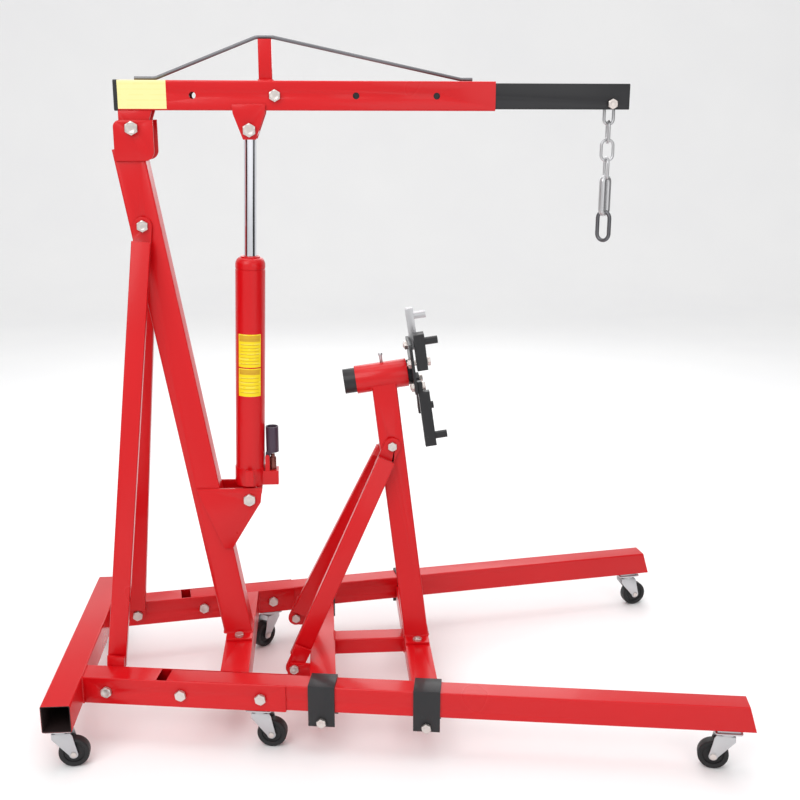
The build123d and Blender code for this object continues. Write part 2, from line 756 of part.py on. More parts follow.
valve = (ram_foot[0] + 2.5, ram_foot_height + 57.0)
valve_face = -(ram_tube_radius + 1.5 + 0.4)
with BuildPart() as release_valve:
    with BuildSketch(side_plane(valve_face)):
        with Locations(valve):
            Circle(10)
    extrude(amount=9)
    with BuildSketch(side_plane(valve_face - 9)):
        with Locations(valve):
            RectangleRounded(19, 38, 5)
    extrude(amount=5)
export(release_valve.part, "release_valve")

# ---- Engine stand ---------------------------------------------------------------------
lug_rear = stand_rear_x - stand_beam_width / 2 - 54.0
lug_bolt = (lug_rear + 16.0, frame_bottom + 27.0)
with BuildPart() as stand_rear_beam:
    cross_beam(stand_rear_x, stand_beam_width, stand_beam_height, tube_wall, -saddle_offset)
    for side in (-1, 1):
        with BuildSketch(side_plane(side * stand_lug_y)):
            Polygon(
                (stand_rear_x - stand_beam_width / 2 + 1, frame_bottom + 3),
                (stand_rear_x - stand_beam_width / 2 + 1, stand_top - 2),
                (lug_rear + 8, stand_top + 2),
                (lug_rear, stand_top - 10),
                (lug_rear, frame_bottom + 12),
                (lug_rear + 10, frame_bottom + 5),
                align=None,
            )
            with Locations(lug_bolt):
                Circle(stand_bolt + bolt_slack, mode=Mode.SUBTRACT)
        extrude(amount=plate_thickness / 2, both=True)
export(stand_rear_beam.part, "stand_rear_beam")

with BuildPart() as stand_front_beam:
    cross_beam(stand_front_x, stand_beam_width, stand_beam_height, tube_wall, -saddle_offset)
    for y in (-foot_bolt_spacing / 2, foot_bolt_spacing / 2):
        bored(Plane(origin=(stand_front_x, y, stand_top)), stand_bolt + bolt_slack, 12.0)
export(stand_front_beam.part, "stand_front_beam")

centre_start = stand_rear_x + stand_beam_width / 2
centre_end = stand_front_x - stand_beam_width / 2
with BuildPart() as stand_centre_beam:
    with BuildSketch(Plane(origin=(centre_start, 0, 0), x_dir=(0, 1, 0), z_dir=(1, 0, 0))):
        with Locations((0, frame_bottom + stand_beam_height / 2)):
            tube_section(stand_centre_width, stand_beam_height, tube_wall)
    extrude(amount=centre_end - centre_start)
export(stand_centre_beam.part, "stand_centre_beam")

head_centre_x = rear_x + head_centre_from_rear
tilt = radians(head_tilt)
head_dir = Vector(cos(tilt), 0, sin(tilt))
head_up = Vector(-sin(tilt), 0, cos(tilt))
head_centre = Vector(head_centre_x, 0, head_centre_height)


def head_plane(along):
    """Plane across the head's axis: x is the far side, y is up, the normal points forward."""
    return Plane(origin=head_centre + head_dir * along, x_dir=(0, 1, 0), z_dir=head_dir)


upright_foot_z = stand_top + foot_plate_thickness
with BuildPart() as stand_upright:
    with BuildSketch(leaning_plane(stand_front_x, upright_foot_z, upright_lean).offset(-20)):
        tube_section(upright_size, upright_size, tube_wall)
    extrude(amount=head_centre_height - upright_foot_z + 40)
    split(bisect_by=Plane.XY.offset(upright_foot_z - 0.5), keep=Keep.TOP)
    with BuildSketch(head_plane(-head_tube_length)):
        Circle(head_tube_radius)
    extrude(amount=3 * head_tube_length, mode=Mode.SUBTRACT)
    cut = Plane(origin=head_centre, z_dir=head_up)
    split(bisect_by=cut, keep=Keep.BOTTOM)
    with BuildSketch(Plane.XY.offset(stand_top)):
        with Locations((stand_front_x, 0)):
            RectangleRounded(stand_beam_width - 2, foot_plate_length, 4)
    extrude(amount=foot_plate_thickness)
    for y in (-foot_bolt_spacing / 2, foot_bolt_spacing / 2):
        bored(Plane(origin=(stand_front_x, y, stand_top)), stand_bolt + bolt_slack, 20.0)
    upright_bolt_x = stand_front_x - (upright_bolt_height - upright_foot_z) * tan(radians(upright_lean))
    bored(side_spot(upright_bolt_x, upright_bolt_height), stand_bolt + bolt_slack, 60.0)
export(stand_upright.part, "stand_upright")

with BuildPart() as stand_head_tube:
    with BuildSketch(head_plane(-head_tube_length / 2)):
        Circle(head_tube_radius)
        Circle(spindle_radius + running, mode=Mode.SUBTRACT)
    extrude(amount=head_tube_length)
    index_hole = Plane(origin=head_centre + head_dir * index_at, x_dir=(0, 1, 0), z_dir=head_up)
    with BuildSketch(index_hole):
        Circle(index_radius + running)
    extrude(amount=60, mode=Mode.SUBTRACT)
export(stand_head_tube.part, "stand_head_tube")

stand_tongue_y = upright_size / 2 + plate_thickness / 2
for name, side in sides.items():
    high = (upright_bolt_x, side * stand_tongue_y, upright_bolt_height)
    foot_y = side * (stand_lug_y - plate_thickness)
    low = (lug_bolt[0], foot_y, lug_bolt[1])
    strut = brace(
        side, high, low, side_plane(side * stand_tongue_y), side_plane(foot_y), stand_bolt + bolt_slack
    )
    export(strut, f"stand_brace_{name}")

saddle_stations = [(x - cross_front_x) / splay_cos for x in (stand_rear_x, stand_front_x)]
saddle_bolt_z = frame_bottom - 20.0
with BuildPart() as stand_saddles:
    for side in (-1, 1):
        for station in saddle_stations:
            centre = rail_side(side)
            half = stand_beam_width / 2
            low = frame_bottom - saddle_drop
            top = frame_top + leg_clearance + saddle_thickness
            with BuildSketch(centre):
                Polygon((station - half, low), (station + half, low), (station + half, top),
                        (station - half, top), align=None)
            extrude(amount=saddle_offset, both=True)
            inside = saddle_offset - saddle_thickness
            with BuildSketch(centre):
                Polygon((station - half - 5, low - 5), (station + half + 5, low - 5),
                        (station + half + 5, top - saddle_thickness),
                        (station - half - 5, top - saddle_thickness), align=None)
            extrude(amount=inside, both=True, mode=Mode.SUBTRACT)
            bored(moved_along(centre, station, saddle_bolt_z), stand_bolt + bolt_slack, 60.0)
export(stand_saddles.part, "stand_saddles")

spindle_front = head_tube_length / 2 + nut_room
spindle_rear = -head_tube_length / 2 - spindle_tail
with BuildPart() as head_spindle:
    with BuildSketch(head_plane(spindle_rear)):
        Circle(spindle_radius)
        Circle(spindle_radius - spindle_wall, mode=Mode.SUBTRACT)
    extrude(amount=spindle_front - spindle_rear)
    for n in range(index_hole_count):
        a = radians(360 * n / index_hole_count)
        way = head_up * cos(a) + Vector(0, 1, 0) * sin(a)
        with BuildSketch(Plane(origin=head_centre + head_dir * index_at, x_dir=head_dir, z_dir=way)):
            Circle(index_radius + index_hole_slack)
        extrude(amount=2 * spindle_radius, mode=Mode.SUBTRACT)
export(head_spindle.part, "head_spindle")

plate_front = spindle_front + face_plate_thickness
# Each arm: its bolt on the plate and its angle there, the distances to its sleeve, past its
# sleeve and behind its bolt, its gap to the plate, its depth, the depth of its thin end round
# the bolt and how far that end reaches, and the sleeve's length.
arm_specs = {
    "upper_far": {
        "pivot": (36, 57), "angle": 86, "reach": 67, "past": 20, "behind": 13,
        "standoff": 0.6, "depth": 18.0, "tongue": 18.0, "tongue_end": 0, "sleeve": 28,
    },
    "upper_near": {
        "pivot": (-34, 27), "angle": 97, "reach": 50, "past": 21, "behind": 18,
        "standoff": 6.0, "depth": 25.0, "tongue": 25.0, "tongue_end": 0, "sleeve": 30,
    },
    "lower_near": {
        "pivot": (-34, -30), "angle": -93, "reach": 121, "past": 23, "behind": 12.5,
        "standoff": 0.6, "depth": 26.0, "tongue": 11.0, "tongue_end": 25, "sleeve": 28,
    },
    "lower_far": {
        "pivot": (36, -30), "angle": -64, "reach": 88, "past": 14, "behind": 12.5,
        "standoff": 0.6, "depth": 11.0, "tongue": 11.0, "tongue_end": 0, "sleeve": 28,
    },
}


with BuildPart() as face_plate:
    with BuildSketch(head_plane(spindle_front)):
        with Locations((0, face_plate_rise)):
            RectangleRounded(face_plate_size, face_plate_size, face_plate_size / 10)
        for spec in arm_specs.values():
            with Locations(spec["pivot"]):
                Circle(arm_bolt + bolt_slack, mode=Mode.SUBTRACT)
    extrude(amount=face_plate_thickness)
export(face_plate.part, "face_plate")

pin_rest = spindle_radius + pin_lift
pin_top = pin_rest + pin_length
with BuildPart() as index_pin:
    with BuildSketch(index_hole.offset(pin_rest)):
        Circle(index_radius)
    extrude(amount=pin_length)
    with BuildSketch(index_hole.offset(pin_top - pin_head_height)):
        Circle(index_radius + pin_head_extra)
    extrude(amount=pin_head_height)
export(index_pin.part, "index_pin")


def engine_arm(spec):
    """Arm that swings on its plate bolt, with a threaded sleeve near its outer end."""
    v, u = spec["pivot"]
    back = plate_front + spec["standoff"]
    a = radians(spec["angle"])
    way = Vector(0, 1, 0) * cos(a) + head_up * sin(a)
    along = Plane(origin=head_plane(back).from_local_coords((v, u, 0)), x_dir=way, z_dir=head_dir)
    with BuildPart() as bar:
        with BuildSketch(along):
            start = spec["tongue_end"] - spec["behind"]
            length = spec["reach"] + spec["past"] - start
            with Locations((start + length / 2, 0)):
                RectangleRounded(length, arm_width, 3)
        extrude(amount=spec["depth"])
        with BuildSketch(along):
            length = spec["behind"] + spec["tongue_end"]
            with Locations((length / 2 - spec["behind"], 0)):
                RectangleRounded(length, arm_width, 3)
        extrude(amount=spec["tongue"])
        bored(along, arm_bolt + running, 2 * spec["depth"])
        with BuildSketch(along.offset(spec["depth"])):
            with Locations((spec["reach"], 0)):
                Circle(arm_sleeve_radius)
        extrude(amount=spec["sleeve"])
        with BuildSketch(along):
            with Locations((spec["reach"], 0)):
                Circle(arm_sleeve_bore)
        extrude(amount=spec["sleeve"] + spec["depth"], mode=Mode.SUBTRACT)
    return bar.part


for name, spec in arm_specs.items():
    export(engine_arm(spec), f"arm_{name}")

spacer_wall = 4.0
with BuildPart() as arm_bolts:
    for spec in arm_specs.values():
        front = plate_front + spec["standoff"] + spec["tongue"] + side_gap
        middle = (front + spindle_front) / 2
        centre = head_plane(0).from_local_coords((*spec["pivot"], middle))
        hex_bolt(Plane(origin=centre, x_dir=(0, 1, 0), z_dir=head_dir), arm_bolt, front - spindle_front)
        if spec["standoff"] > side_gap + 1:
            with BuildSketch(head_plane(plate_front)):
                with Locations(spec["pivot"]):
                    Circle(arm_bolt + spacer_wall)
            extrude(amount=spec["standoff"] - side_gap)
export(arm_bolts.part, "arm_bolts")

# ---- Frame and stand fasteners --------------------------------------------------------
with BuildPart() as frame_bolts:
    for side in (-1, 1):
        for along in (rail_bolt_at, leg_pivot_at, leg_lock_at):
            tongue = plate_thickness if along == rail_bolt_at else 0.0
            spot = moved_along(rail_side(side, -tongue / 2), along, frame_middle)
            hex_bolt(spot, frame_bolt, rail_width + tongue)
    hex_bolt(mast_bolt, frame_bolt, mast_size + 2 * plate_thickness)
    for side in (-1, 1):
        inner_face = side_spot(*ram_foot, side * mast_size / 2)
        shank(inner_face, pivot_bolt, -side * plate_thickness)
        outer_face = side_spot(*ram_foot, side * (mast_size / 2 + plate_thickness))
        hexagon(outer_face, pivot_bolt, -side * pivot_bolt)
export(frame_bolts.part, "frame_bolts")

with BuildPart() as boom_pivot_bolt:
    hex_bolt(side_spot(boom_pivot_x, boom_pivot_height), pivot_bolt, mast_size + 2 * plate_thickness)
export(boom_pivot_bolt.part, "boom_pivot_bolt")

with BuildPart() as ram_top_bolt:
    hex_bolt(side_spot(*ram_top), pivot_bolt, boom_size + 2 * plate_thickness)
export(ram_top_bolt.part, "ram_top_bolt")

with BuildPart() as stand_bolts:
    for side in (-1, 1):
        for station in saddle_stations:
            spot = moved_along(rail_side(side), station, saddle_bolt_z)
            hex_bolt(spot, stand_bolt, 2 * saddle_offset)
        lug_middle = side * (stand_lug_y - plate_thickness / 2)
        hex_bolt(side_spot(*lug_bolt, lug_middle), stand_bolt, 2 * plate_thickness)
    hex_bolt(side_spot(upright_bolt_x, upright_bolt_height), stand_bolt, upright_size + 2 * plate_thickness)
    for x, deck in ((mid_beam_x, frame_top), (stand_front_x, stand_top)):
        for y in (-foot_bolt_spacing / 2, foot_bolt_spacing / 2):
            grip = foot_plate_thickness + tube_wall
            spot = Plane(origin=(x, y, deck + foot_plate_thickness - grip / 2))
            hex_bolt(spot, stand_bolt, grip)
export(stand_bolts.part, "stand_bolts")

# ---- Casters --------------------------------------------------------------------------
caster_stations = {"rear": None, "mid": 409.0, "front": 1452.0}
caster_yaws = {
    ("rear", "near"): 4,
    ("rear", "far"): -60,
    ("mid", "near"): -8,
    ("mid", "far"): 228,
    ("front", "near"): 164,
    ("front", "far"): 12,
}


def caster_place(station, side):
    """Where a caster's swivel axis stands on the floor plan."""
    along = caster_stations[station]
    if along is None:
        return rear_x + tube_size / 2, side * (cross_tube_length / 2 - 33)
    x = cross_front_x + along * splay_cos
    return x, side * rail_y(x)


race_radius = 20.0
crown_z = frame_bottom - caster_plate_thickness - 10.0
cheek_inner = hub_width / 2 + side_gap
cheek_thickness = 2.5


def caster_fork(x, y, yaw):
    """Swivelling fork: race, crown, two cheeks and the axle, trailing along the yaw direction."""
    a = radians(yaw)
    floor = Plane(origin=(x, y, 0), x_dir=(cos(a), sin(a), 0), z_dir=(0, 0, 1))
    upright = Plane(origin=(x, y, 0), x_dir=(cos(a), sin(a), 0), z_dir=(sin(a), -cos(a), 0))
    outer = cheek_inner + cheek_thickness
    with BuildPart() as fork:
        with BuildSketch(floor.offset(crown_z)):
            Circle(race_radius)
        extrude(amount=frame_bottom - caster_plate_thickness - 0.3 - crown_z)
        with BuildSketch(upright):
            Polygon(
                (-20, crown_z),
                (24, crown_z),
                (caster_trail + 11, wheel_radius + 4),
                (caster_trail + 8, wheel_radius - 9),
                (caster_trail - 8, wheel_radius - 9),
                (caster_trail - 13, wheel_radius + 2),
                (-20, crown_z - 14),
                align=None,
            )
        extrude(amount=outer, both=True)
        with BuildSketch(upright):
            with Locations((0, (crown_z - 3) / 2)):
                Rectangle(200, crown_z - 3)
        extrude(amount=cheek_inner, both=True, mode=Mode.SUBTRACT)
        with BuildSketch(upright):
            with Locations((caster_trail, wheel_radius)):
                Circle(axle_radius)
        extrude(amount=outer + 1.5, both=True)
        for face in (-1, 1):
            with BuildSketch(upright.offset(face * (outer + 1.5))):
                with Locations((caster_trail, wheel_radius)):
                    RegularPolygon(6.5, 6, major_radius=False)
            extrude(amount=face * 4)
    return fork.part


def caster_wheel(x, y, yaw):
    """Wheel with a crowned tread and a hub bored for its axle."""
    a = radians(yaw)
    centre = Plane(
        origin=(x + caster_trail * cos(a), y + caster_trail * sin(a), wheel_radius),
        x_dir=(cos(a), sin(a), 0),
        z_dir=(sin(a), -cos(a), 0),
    )
    half = wheel_width / 2
    profile = Plane(origin=centre.origin, x_dir=centre.x_dir, z_dir=(0, 0, 1))
    with BuildPart() as wheel:
        with BuildSketch(profile):
            with BuildLine():
                Polyline(
                    (axle_radius + running, -hub_width / 2),
                    (9, -hub_width / 2),
                    (10, -half + 4),
                    (wheel_radius - 10, -half + 4),
                    (wheel_radius - 8, -half),
                    (wheel_radius - 3, -half),
                    (wheel_radius, -half + 4),
                    (wheel_radius, half - 4),
                    (wheel_radius - 3, half),
                    (wheel_radius - 8, half),
                    (wheel_radius - 10, half - 4),
                    (10, half - 4),
                    (9, hub_width / 2),
                    (axle_radius + running, hub_width / 2),
                    close=True,
                )
            make_face()
        revolve(axis=Axis(centre.origin, centre.z_dir))
    return wheel.part


with BuildPart() as caster_plates:
    for station in caster_stations:
        for side in (-1, 1):
            x, y = caster_place(station, side)
            turn = 0 if station == "rear" else side * leg_splay
            base = Plane(origin=(x, y, frame_bottom)).rotated((0, 0, turn))
            with BuildSketch(base):
                RectangleRounded(caster_plate, caster_plate, 6)
            extrude(amount=-caster_plate_thickness)
            if station == "front":
                with BuildSketch(base):
                    Rectangle(caster_plate - 10, leg_width - 6)
                extrude(amount=leg_bottom - frame_bottom)
export(caster_plates.part, "caster_plates")

for (station, name), yaw in caster_yaws.items():
    x, y = caster_place(station, sides[name])
    export(caster_fork(x, y, yaw), f"caster_fork_{station}_{name}")
    export(caster_wheel(x, y, yaw), f"wheel_{station}_{name}")
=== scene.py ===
"""Folding shop crane with an engine stand: its finishes, fasteners, castings, chain and casters."""

import json
import logging
import math
from collections.abc import Callable
from dataclasses import dataclass
from enum import Enum
from functools import cache

import bmesh
import bpy
import numpy as np
from mathutils import Matrix, Vector


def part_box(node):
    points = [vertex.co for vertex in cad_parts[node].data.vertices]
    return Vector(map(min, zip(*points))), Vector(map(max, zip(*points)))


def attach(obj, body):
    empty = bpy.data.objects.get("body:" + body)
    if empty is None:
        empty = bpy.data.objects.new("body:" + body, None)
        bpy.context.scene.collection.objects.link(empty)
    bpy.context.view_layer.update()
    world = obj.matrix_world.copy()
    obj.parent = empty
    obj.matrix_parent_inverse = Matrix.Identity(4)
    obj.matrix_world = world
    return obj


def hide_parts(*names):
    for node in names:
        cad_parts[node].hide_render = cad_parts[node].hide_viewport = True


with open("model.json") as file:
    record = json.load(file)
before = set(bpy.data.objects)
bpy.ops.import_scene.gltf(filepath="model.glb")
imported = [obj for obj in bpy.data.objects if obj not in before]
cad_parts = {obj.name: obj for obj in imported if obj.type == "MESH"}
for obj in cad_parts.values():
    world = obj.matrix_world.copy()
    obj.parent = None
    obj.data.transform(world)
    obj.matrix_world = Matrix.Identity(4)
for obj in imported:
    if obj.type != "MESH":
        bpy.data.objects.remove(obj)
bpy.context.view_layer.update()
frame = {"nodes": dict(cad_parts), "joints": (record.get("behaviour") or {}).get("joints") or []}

log = logging.getLogger("shop_crane")
MM = 0.001
TUBE_WALL = 3.0 * MM
WELD_GAP = 0.3 * MM
FOOT_PLATE = 6.0 * MM
JOINTS = {joint["name"]: joint for joint in frame["joints"]}


# ---- Small helpers --------------------------------------------------------------------
def pivot(joint: str) -> Vector:
    """Return where a hinge turns, in metres."""
    return Vector(JOINTS[joint]["pos_m"])


def axis_of(joint: str) -> Vector:
    """Return a joint's axis."""
    return Vector(JOINTS[joint]["axis"]).normalized()


def placed(origin: Vector, x_axis: Vector, z_axis: Vector) -> Matrix:
    """Make a placement from an origin and two directions.

    Args:
        origin: Where the local origin goes.
        x_axis: Direction of local x, made square to z_axis.
        z_axis: Direction of local z.

    Returns:
        The matrix from local to row coordinates.
    """
    z = z_axis.normalized()
    x = (x_axis - z * x_axis.dot(z)).normalized()
    y = z.cross(x)
    turn = Matrix((x, y, z)).transposed().to_4x4()
    return Matrix.Translation(origin) @ turn


def object_from(name: str, data: bpy.types.ID) -> bpy.types.Object:
    """Put a mesh or a curve in the scene under a name."""
    piece = bpy.data.objects.new(name, data)
    bpy.context.scene.collection.objects.link(piece)
    return piece


def from_bmesh(name: str, bm: bmesh.types.BMesh) -> bpy.types.Object:
    """Close a bmesh up into a named object, with its faces outward.

    Args:
        name: The new object's name.
        bm: The shape, which is freed.

    Returns:
        The new object.
    """
    bmesh.ops.remove_doubles(bm, verts=bm.verts, dist=0.01 * MM)
    bmesh.ops.recalc_face_normals(bm, faces=bm.faces)
    mesh = bpy.data.meshes.new(name)
    bm.to_mesh(mesh)
    bm.free()
    return object_from(name, mesh)


def merged(node: str) -> bmesh.types.BMesh:
    """Return a node's surface as a bmesh with its doubles merged."""
    bm = bmesh.new()
    bm.from_mesh(frame["nodes"][node].data)
    bmesh.ops.remove_doubles(bm, verts=bm.verts, dist=0.01 * MM)
    return bm


def settled(piece: bpy.types.Object, smooth_deg: float = 35.0) -> bpy.types.Object:
    """Turn modifiers and curves into one plain mesh with smooth shading up to an angle.

    Args:
        piece: A mesh or curve object, which is removed.
        smooth_deg: Edges sharper than this stay sharp.

    Returns:
        A mesh object of the same name at the origin.
    """
    bpy.context.view_layer.update()
    graph = bpy.context.evaluated_depsgraph_get()
    mesh = bpy.data.meshes.new_from_object(piece.evaluated_get(graph), depsgraph=graph)
    mesh.transform(piece.matrix_world)
    name = piece.name
    bpy.data.objects.remove(piece)
    done = object_from(name, mesh)
    mesh.name = name
    mesh.shade_smooth()
    mesh.set_sharp_from_angle(angle=math.radians(smooth_deg))
    return done


def joined(name: str, pieces: list[bpy.types.Object]) -> bpy.types.Object:
    """Join several mesh objects into one, keeping each one's material.

    Args:
        name: The joined object's name.
        pieces: Mesh objects, which are used up.

    Returns:
        The joined object.
    """
    with bpy.context.temp_override(
        active_object=pieces[0],
        object=pieces[0],
        selected_objects=pieces,
        selected_editable_objects=pieces,
    ):
        bpy.ops.object.join()
    pieces[0].name = name
    return pieces[0]


def bevelled(
    piece: bpy.types.Object, width: float, segments: int = 2, angle: float = 32.0
) -> bpy.types.Object:
    """Round a piece's sharp edges.

    Args:
        piece: The mesh object, which is used up.
        width: The rounding's width in metres.
        segments: Steps across each rounding.
        angle: Only edges sharper than this are rounded, in degrees.

    Returns:
        The rounded mesh object.
    """
    edge = piece.modifiers.new("edges", "BEVEL")
    edge.width = width
    edge.segments = segments
    edge.limit_method = "ANGLE"
    edge.angle_limit = math.radians(angle)
    edge.use_clamp_overlap = True
    return settled(piece)


def lathe(
    name: str, profile: list[tuple[float, float]], place: Matrix, steps: int = 48
) -> bpy.types.Object:
    """Turn a profile round the local z axis into a closed shape.

    Args:
        name: The new object's name.
        profile: Radius and height pairs, in metres, from one end of the axis to the other.
        place: Where the local frame goes.
        steps: Facets round the axis.

    Returns:
        The new object, not yet smoothed.
    """
    bm = bmesh.new()
    rings = []
    for radius, height in profile:
        ring = []
        for n in range(steps if radius > 1e-6 else 1):
            a = 2 * math.pi * n / steps
            spot = place @ Vector((radius * math.cos(a), radius * math.sin(a), height))
            ring.append(bm.verts.new(spot))
        rings.append(ring)
    for low, high in zip(rings, rings[1:]):
        for n in range(steps):
            m = (n + 1) % steps
            corners = [
                low[n % len(low)], low[m % len(low)], high[m % len(high)], high[n % len(high)]
            ]
            corners = list(dict.fromkeys(corners))
            if len(corners) > 2:
                bm.faces.new(corners)
    return from_bmesh(name, bm)


def slab(
    name: str, outline: list[tuple[float, float]], low: float, high: float, place: Matrix
) -> bpy.types.Object:
    """Make a flat closed piece from an outline in the local xy plane.

    Args:
        name: The new object's name.
        outline: Corner points in order, in metres.
        low: Height of one face.
        high: Height of the other face.
        place: Where the local frame goes.

    Returns:
        The new object.
    """
    bm = bmesh.new()
    base = [bm.verts.new(place @ Vector((x, y, low))) for x, y in outline]
    top = [bm.verts.new(place @ Vector((x, y, high))) for x, y in outline]
    bm.faces.new(base)
    bm.faces.new(reversed(top))
    for n in range(len(base)):
        m = (n + 1) % len(base)
        bm.faces.new([base[n], top[n], top[m], base[m]])
    return from_bmesh(name, bm)


def arc(centre: tuple[float, float], radius: float, start: float, end: float, steps: int) -> list[
    tuple[float, float]
]:
    """Points along an arc.

    Args:
        centre: The arc's centre.
        radius: Its radius.
        start: First angle in degrees.
        end: Last angle in degrees.
        steps: Number of stretches.

    Returns:
        The points, both ends included.
    """
    points = []
    for n in range(steps + 1):
        a = math.radians(start + (end - start) * n / steps)
        points.append((centre[0] + radius * math.cos(a), centre[1] + radius * math.sin(a)))
    return points


def rounded_square(half: float, corner: float) -> list[tuple[float, float]]:
    """Return the outline of a square with rounded corners.

    Args:
        half: Half the square's side.
        corner: Radius of its corners.

    Returns:
        The outline's points, counter-clockwise from the right.
    """
    reach, points = half - corner, []
    for x, y, start in ((1, 1, 0), (-1, 1, 90), (-1, -1, 180), (1, -1, 270)):
        points += arc((x * reach, y * reach), corner, start, start + 90, 5)
    return points


def hand_over(
    piece: bpy.types.Object, body: str, finish: "Finish", nodes: tuple[str, ...] = ()
) -> None:
    """Dress a finished piece, tie it to its body and report it.

    Args:
        piece: The finished mesh object.
        body: The body that it moves with.
        finish: What its surface is; pieces that already have materials keep them.
        nodes: CAD nodes that it stands for.
    """
    if not piece.data.materials:
        piece.data.materials.append(finish.material())
    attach(piece, body)
    if nodes:
        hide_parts(*nodes)
    log.info("%s rides on %s, %d faces", piece.name, body, len(piece.data.polygons))


# ---- Solids of the frame --------------------------------------------------------------
@dataclass(frozen=True)
class Solid:
    """One closed solid of a node, with its own axes."""

    points: np.ndarray
    centre: Vector
    axes: tuple[Vector, Vector, Vector]
    spread: tuple[float, float, float]

    def axle(self) -> Vector:
        """Return the direction that the solid is round about."""
        low, mid, high = self.spread
        return self.axes[2] if high - mid > mid - low else self.axes[0]

    def reach(self, axis: Vector) -> tuple[float, float]:
        """Return the lowest and highest place along an axis, from the centre."""
        along = (self.points - np.array(self.centre)) @ np.array(axis)
        return float(along.min()), float(along.max())

    def radius(self, axis: Vector) -> float:
        """Return the largest distance from the centre line along an axis."""
        away = self.points - np.array(self.centre)
        along = away @ np.array(axis)
        across = away - np.outer(along, np.array(axis))
        return float(np.linalg.norm(across, axis=1).max())


def solids_of(node: str) -> list[Solid]:
    """Split a node into its closed solids.

    Args:
        node: The node's name.

    Returns:
        Its solids, in no set order.
    """
    bm = merged(node)
    bm.verts.ensure_lookup_table()
    left = set(bm.verts)
    found = []
    while left:
        group, todo = set(), [left.pop()]
        while todo:
            vert = todo.pop()
            if vert in group:
                continue
            group.add(vert)
            todo.extend(edge.other_vert(vert) for edge in vert.link_edges)
        left -= group
        faces = {face for vert in group for face in vert.link_faces}
        moment, total, first = np.zeros((3, 3)), 0.0, np.zeros(3)
        for face in faces:
            corners = np.array([loop.vert.co for loop in face.loops][:3])
            area = face.calc_area()
            whole = corners.sum(axis=0)
            moment += area / 12 * (corners.T @ corners + np.outer(whole, whole))
            first += area * whole / 3
            total += area
        centre = first / total
        values, vectors = np.linalg.eigh(moment / total - np.outer(centre, centre))
        axes = tuple(Vector(vectors[:, n]) for n in range(3))
        points = np.array([vert.co for vert in group])
        found.append(Solid(points, Vector(centre), axes, tuple(float(v) for v in values)))
    bm.free()
    return sorted(found, key=lambda solid: (-solid.centre.z, solid.centre.y, solid.centre.x))


# ---- Finishes -------------------------------------------------------------------------
class Surface(Enum):
    """The kinds of detail that a finish can carry."""

    PAINT = "powder coat"
    PLATED = "plated steel"
    POLISHED = "hard chrome"
    MOULDED = "moulded tread"
    PRINTED = "printed film"


def shader_group(
    name: str, build: Callable[..., None], outputs: dict[str, str]
) -> bpy.types.NodeTree:
    """Make a shader group once, and give the same one back after that.

    Args:
        name: The group's name.
        build: Fills the group's tree, given the tree and its input and output nodes.
        outputs: Socket types by the names of the group's outputs.

    Returns:
        The group's node tree.
    """
    if name in bpy.data.node_groups:
        return bpy.data.node_groups[name]
    tree = bpy.data.node_groups.new(name, "ShaderNodeTree")
    tree.interface.new_socket("Place", in_out="INPUT", socket_type="NodeSocketVector")
    tree.interface.new_socket("Scale", in_out="INPUT", socket_type="NodeSocketFloat")
    for label, kind in outputs.items():
        tree.interface.new_socket(label, in_out="OUTPUT", socket_type=kind)
    start = tree.nodes.new("NodeGroupInput")
    end = tree.nodes.new("NodeGroupOutput")
    build(tree, start, end)
    return tree


def noise(tree: bpy.types.NodeTree, place, scale: float, detail: float = 4.0, rough: float = 0.55):
    """Add a noise texture fed by a place.

    Args:
        tree: The tree to add to.
        place: The socket with the coordinates.
        scale: Features per metre.
        detail: Octaves.
        rough: How strong the fine octaves are.

    Returns:
        The noise node.
    """
    node = tree.nodes.new("ShaderNodeTexNoise")
    node.inputs["Scale"].default_value = scale
    node.inputs["Detail"].default_value = detail
    node.inputs["Roughness"].default_value = rough
    tree.links.new(place, node.inputs["Vector"])
    return node


def remap(tree: bpy.types.NodeTree, value, low: float, high: float, to_low: float, to_high: float):
    """Add a clamped map from one range to another and return its result socket."""
    node = tree.nodes.new("ShaderNodeMapRange")
    node.inputs["From Min"].default_value = low
    node.inputs["From Max"].default_value = high
    node.inputs["To Min"].default_value = to_low
    node.inputs["To Max"].default_value = to_high
    tree.links.new(value, node.inputs["Value"])
    return node.outputs["Result"]


def blended(tree: bpy.types.NodeTree, factor, first, second):
    """Mix two colours by a factor; each is a socket or a constant.

    Args:
        tree: The tree to add to.
        factor: The socket that says how much of the second shows.
        first: A colour socket or an RGB tuple.
        second: A colour socket or an RGB tuple.

    Returns:
        The mixed colour's socket.
    """
    node = tree.nodes.new("ShaderNodeMix")
    node.data_type = "RGBA"
    tree.links.new(factor, node.inputs["Factor"])
    for label, colour in (("A", first), ("B", second)):
        socket = [s for s in node.inputs if s.name == label and s.type == "RGBA"][0]
        if isinstance(colour, tuple):
            socket.default_value = (*colour, 1.0)
        else:
            tree.links.new(colour, socket)
    return [s for s in node.outputs if s.type == "RGBA"][0]


def build_scuffs(tree: bpy.types.NodeTree, start, end) -> None:
    """Fill the scuffs group: a sparse mask of chips and a soft mask of handling marks."""
    fine = noise(tree, start.outputs["Place"], 260.0, 3.0, 0.6)
    patches = noise(tree, start.outputs["Place"], 9.0, 0.0, 0.5)
    chips = remap(tree, fine.outputs["Fac"], 0.71, 0.73, 0.0, 1.0)
    where = remap(tree, patches.outputs["Fac"], 0.60, 0.72, 0.0, 1.0)
    both = tree.nodes.new("ShaderNodeMath")
    both.operation = "MULTIPLY"
    tree.links.new(chips, both.inputs[0])
    tree.links.new(where, both.inputs[1])
    tree.links.new(both.outputs["Value"], end.inputs["Chips"])
    tree.links.new(remap(tree, patches.outputs["Fac"], 0.1, 0.9, 0.0, 1.0), end.inputs["Marks"])


